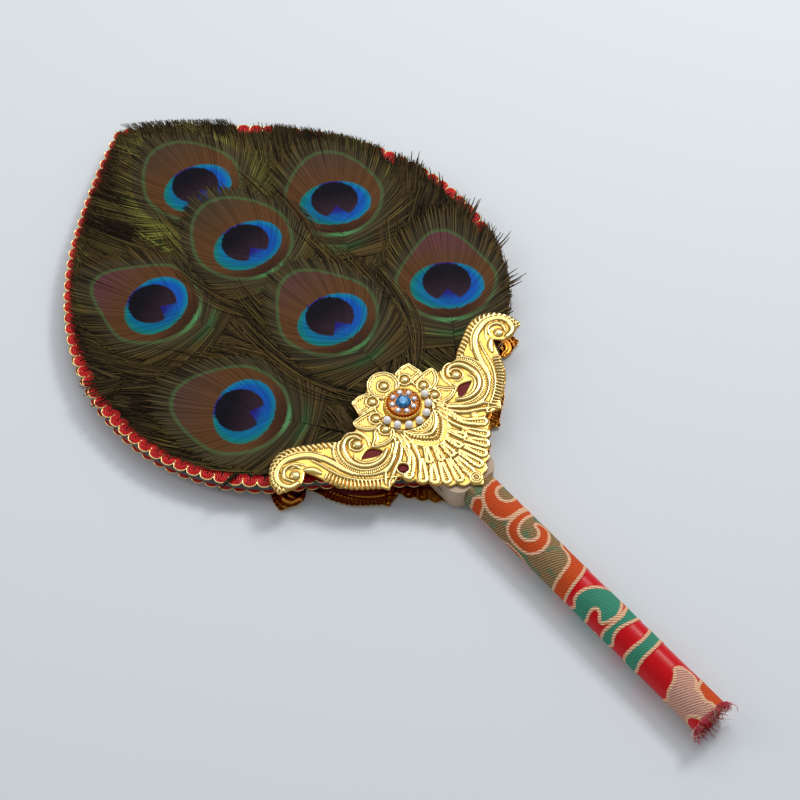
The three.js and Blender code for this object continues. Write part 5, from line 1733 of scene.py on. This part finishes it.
outer = tube_points(radius, core_half + 0.28)
inner = tube_points(np.full_like(radius, grip_radius - 0.55), core_half + 0.08)
count = along_steps * around_steps
index = np.arange(count).reshape(along_steps, around_steps)
after = np.roll(index, -1, axis=1)
tube_faces = np.stack([index[:-1], after[:-1], after[1:], index[1:]], axis=-1).reshape(-1, 4)
rims = [np.stack([after[0], index[0], index[0] + count, after[0] + count], axis=1),
        np.stack([index[-1], after[-1], after[-1] + count, index[-1] + count], axis=1)]
faces = np.concatenate([tube_faces, tube_faces[:, ::-1] + count, *rims])
sleeve = new_mesh_object("brocade_cloth", to_metres(np.concatenate([outer, inner])), faces=faces.tolist())
face_outwards(sleeve)
for name, values in {**inside, "cord": to_cord}.items():
    write_values(sleeve.data, name, np.tile(values, 2))
on_cloth = np.column_stack([cloth_across.ravel(), cloth_along.ravel(), np.zeros(count)])
write_values(sleeve.data, "cloth", np.tile(on_cloth, (2, 1)))

# %% [markdown]
# Brocade is silk, woven on a loom that brings each coloured weft to the face only where it is wanted. The
# red ground is satin, smooth and glossy. The motifs are ribbed or twilled and duller, and the cords are
# stitched round with pale thread. Real threads are too fine to show, so they are drawn coarser, about one to
# the millimetre.

# %% Colour the brocade
brocade_material, tree, shader = new_material(
    "silk brocade, woven and corded", Roughness=0.5, Specular_IOR_Level=0.2)
place = add_node(tree, "ShaderNodeAttribute", attribute_name="cloth").outputs["Vector"]
across, along, _ = add_node(tree, "ShaderNodeSeparateXYZ", (place,)).outputs
thread = add_node(tree, "ShaderNodeTexNoise", {"Vector": place, "Scale": 1.3, "Detail": 2.0})
wobble = add_node(tree, "ShaderNodeMath", (thread, 0.5), operation="SUBTRACT")


def stripes(across_rate, along_rate):
    """Threads as a sine wave across the cloth, in turns per millimetre."""
    first = add_node(tree, "ShaderNodeMath", (across, across_rate * 2 * math.pi), operation="MULTIPLY")
    both = add_node(
        tree, "ShaderNodeMath", (along, along_rate * 2 * math.pi, first), operation="MULTIPLY_ADD")
    return add_node(tree, "ShaderNodeMath", (both,), operation="SINE")


def rough_edged(name):
    """A distance that the cloth carries, with the uneven edge that threads give."""
    distance = add_node(tree, "ShaderNodeAttribute", attribute_name=name).outputs["Fac"]
    return add_node(tree, "ShaderNodeMath", (distance, wobble), operation="ADD")


flecked = add_node(tree, "ShaderNodeMath", (thread, 3.0, stripes(0.42, 0.82)), operation="MULTIPLY_ADD")
twill = add_node(tree, "ShaderNodeMapRange", (flecked, 0.5, 2.5), **smoothly)
rib = add_node(tree, "ShaderNodeMapRange", (stripes(0.95, -0.2), -1, 1), **smoothly)
stitch = add_node(tree, "ShaderNodeMapRange", (stripes(0.62, 0.62), -1, 1), **smoothly)
patchy = add_node(tree, "ShaderNodeTexNoise", {"Vector": place, "Scale": 0.09})
olive = add_node(tree, "ShaderNodeMix", (twill, "#6c5434", "#b08c60"), **in_colour)
mossy = add_node(tree, "ShaderNodeMix", (twill, "#48654c", "#828c66"), **in_colour)
tints = {
    "ground": fade(tree, patchy, 0.5, 0.6, olive, mossy),
    "orange": add_node(tree, "ShaderNodeMix", (rib, "#b43c12", "#e65c24"), **in_colour),
    "teal": add_node(tree, "ShaderNodeMix", (rib, "#28765c", "#4da083"), **in_colour),
    "leaf": add_node(tree, "ShaderNodeMix", (twill, "#b47868", "#e2b29c"), **in_colour),
}
stitched_tint = add_node(tree, "ShaderNodeMix", (stitch, "#d08a68", "#fbd2a8"), **in_colour)
on_cord = add_node(tree, "ShaderNodeMapRange", (rough_edged("cord"), 0.68, 0.84, 1.0, 0.0), **smoothly)
colour = add_node(tree, "ShaderNodeMix", (thread, "#b8000a", "#de0514"), **in_colour)
woven = on_cord
for name, tint in tints.items():
    within = add_node(tree, "ShaderNodeMapRange", (rough_edged(name), -0.08, 0.08), **smoothly)
    colour = add_node(tree, "ShaderNodeMix", (within, colour, tint), **in_colour)
    woven = add_node(tree, "ShaderNodeMath", (woven, within), operation="MAXIMUM")
colour = add_node(tree, "ShaderNodeMix", (on_cord, colour, stitched_tint), **in_colour)
roughness = add_node(tree, "ShaderNodeMapRange", (woven, 0, 1, 0.33, 0.75), **smoothly)
raised = add_node(tree, "ShaderNodeMix", (on_cord, twill, stitch))
grain = add_node(tree, "ShaderNodeMath", (raised, woven), operation="MULTIPLY")
bump = add_node(tree, "ShaderNodeBump", {"Height": grain, "Strength": 0.8, "Distance": 0.25 * mm})
wire(tree, shader, {"Base Color": colour, "Roughness": roughness, "Normal": bump})
sleeve.data.materials.append(brocade_material)
finish_piece(sleeve, "brocade", "brocade_sleeve")

# %% [markdown]
# Threads come loose from the raw edge at the butt. They are silk, dyed red with a few pale ones, soft in
# their shine. Each is a short curve that starts in the cloth's edge and curls outwards, swept as a cord.

# %% Fray the butt
threads = 280
thread_points = 7
fray_lines = Lines("shade")
for _ in range(threads):
    angle = dice.uniform(0, 2 * math.pi)
    outwards = np.array([math.sin(angle), 0, math.cos(angle)])
    start = outwards * (grip_radius - dice.uniform(0.1, 0.5)) + [0, sleeve_end + 0.8, 0]
    length = dice.gamma(3.0, 0.6) + 0.4
    lean = outwards * dice.normal(0.05, 0.35) + [dice.normal(0, 0.3), -1, dice.normal(0, 0.25)]
    curl = outwards * dice.normal(0.3, 0.4) + [dice.normal(0, 0.4), -0.6, 0]
    path = curve_between(start, start + curl * length, start + lean * length, thread_points)
    path[:, 2] = np.clip(path[:, 2], -grip_radius + 0.3, None)
    fray_lines.add(path, np.linspace(0.17, 0.1, thread_points), shade=dice.uniform(0, 1))
thread_material, tree, shader = new_material("frayed silk threads", Roughness=0.6, Sheen_Weight=0.2)
shade = add_node(tree, "ShaderNodeAttribute", attribute_name="shade").outputs["Fac"]
thread_tint = fade(tree, shade, 0.0, 0.7, "#8c0c2c", "#d42c48")
wire(tree, shader, {"Base Color": fade(tree, shade, 0.86, 0.9, thread_tint, "#e0a890")})
loose_threads = run_tree(fray_lines.to_object("frayed_threads"), cord, Material=thread_material)
fray_piece = finish_piece(loose_threads, "brocade")

# %% [markdown]
# ## The wood, the board and the rivet
# These keep their CAD shapes. The handle's head shows between the plates as pale unpainted wood, sanded
# matt, with a grain that runs along it in streaks 1 mm wide and 17 mm long. The board is grey pasteboard,
# which is plain and matt. The rivet is turned brass: smooth bare metal.

# %% Finish the CAD pieces
grain_rates = (0.9 * per_mm, 0.06 * per_mm, 0.9 * per_mm)
wood_material, tree, shader = new_material("pale sanded wood", Roughness=0.7)
place = add_node(tree, "ShaderNodeTexCoord").outputs["Object"]
stretched = add_node(tree, "ShaderNodeMapping", {"Vector": place, "Scale": grain_rates})
grain = add_node(tree, "ShaderNodeTexNoise", {"Vector": stretched, "Scale": 1.0})
tint = add_node(tree, "ShaderNodeMix", (grain, "#ae937a", "#d2baa0"), **in_colour)
wire(tree, shader, {"Base Color": tint})
card_material = new_material("grey pasteboard", Base_Color="#8f8778", Roughness=0.85)[0]
brass_material = new_material("turned brass", Base_Color="#c9a04a", Metallic=1.0, Roughness=0.3)[0]
kept_shapes = {"handle_core": wood_material, "core_board": card_material, "centre_rivet": brass_material}
for node, material in kept_shapes.items():
    for slot in bpy.data.objects[node].material_slots:
        slot.material = material
    print(node, "keeps its shape as", material.name)
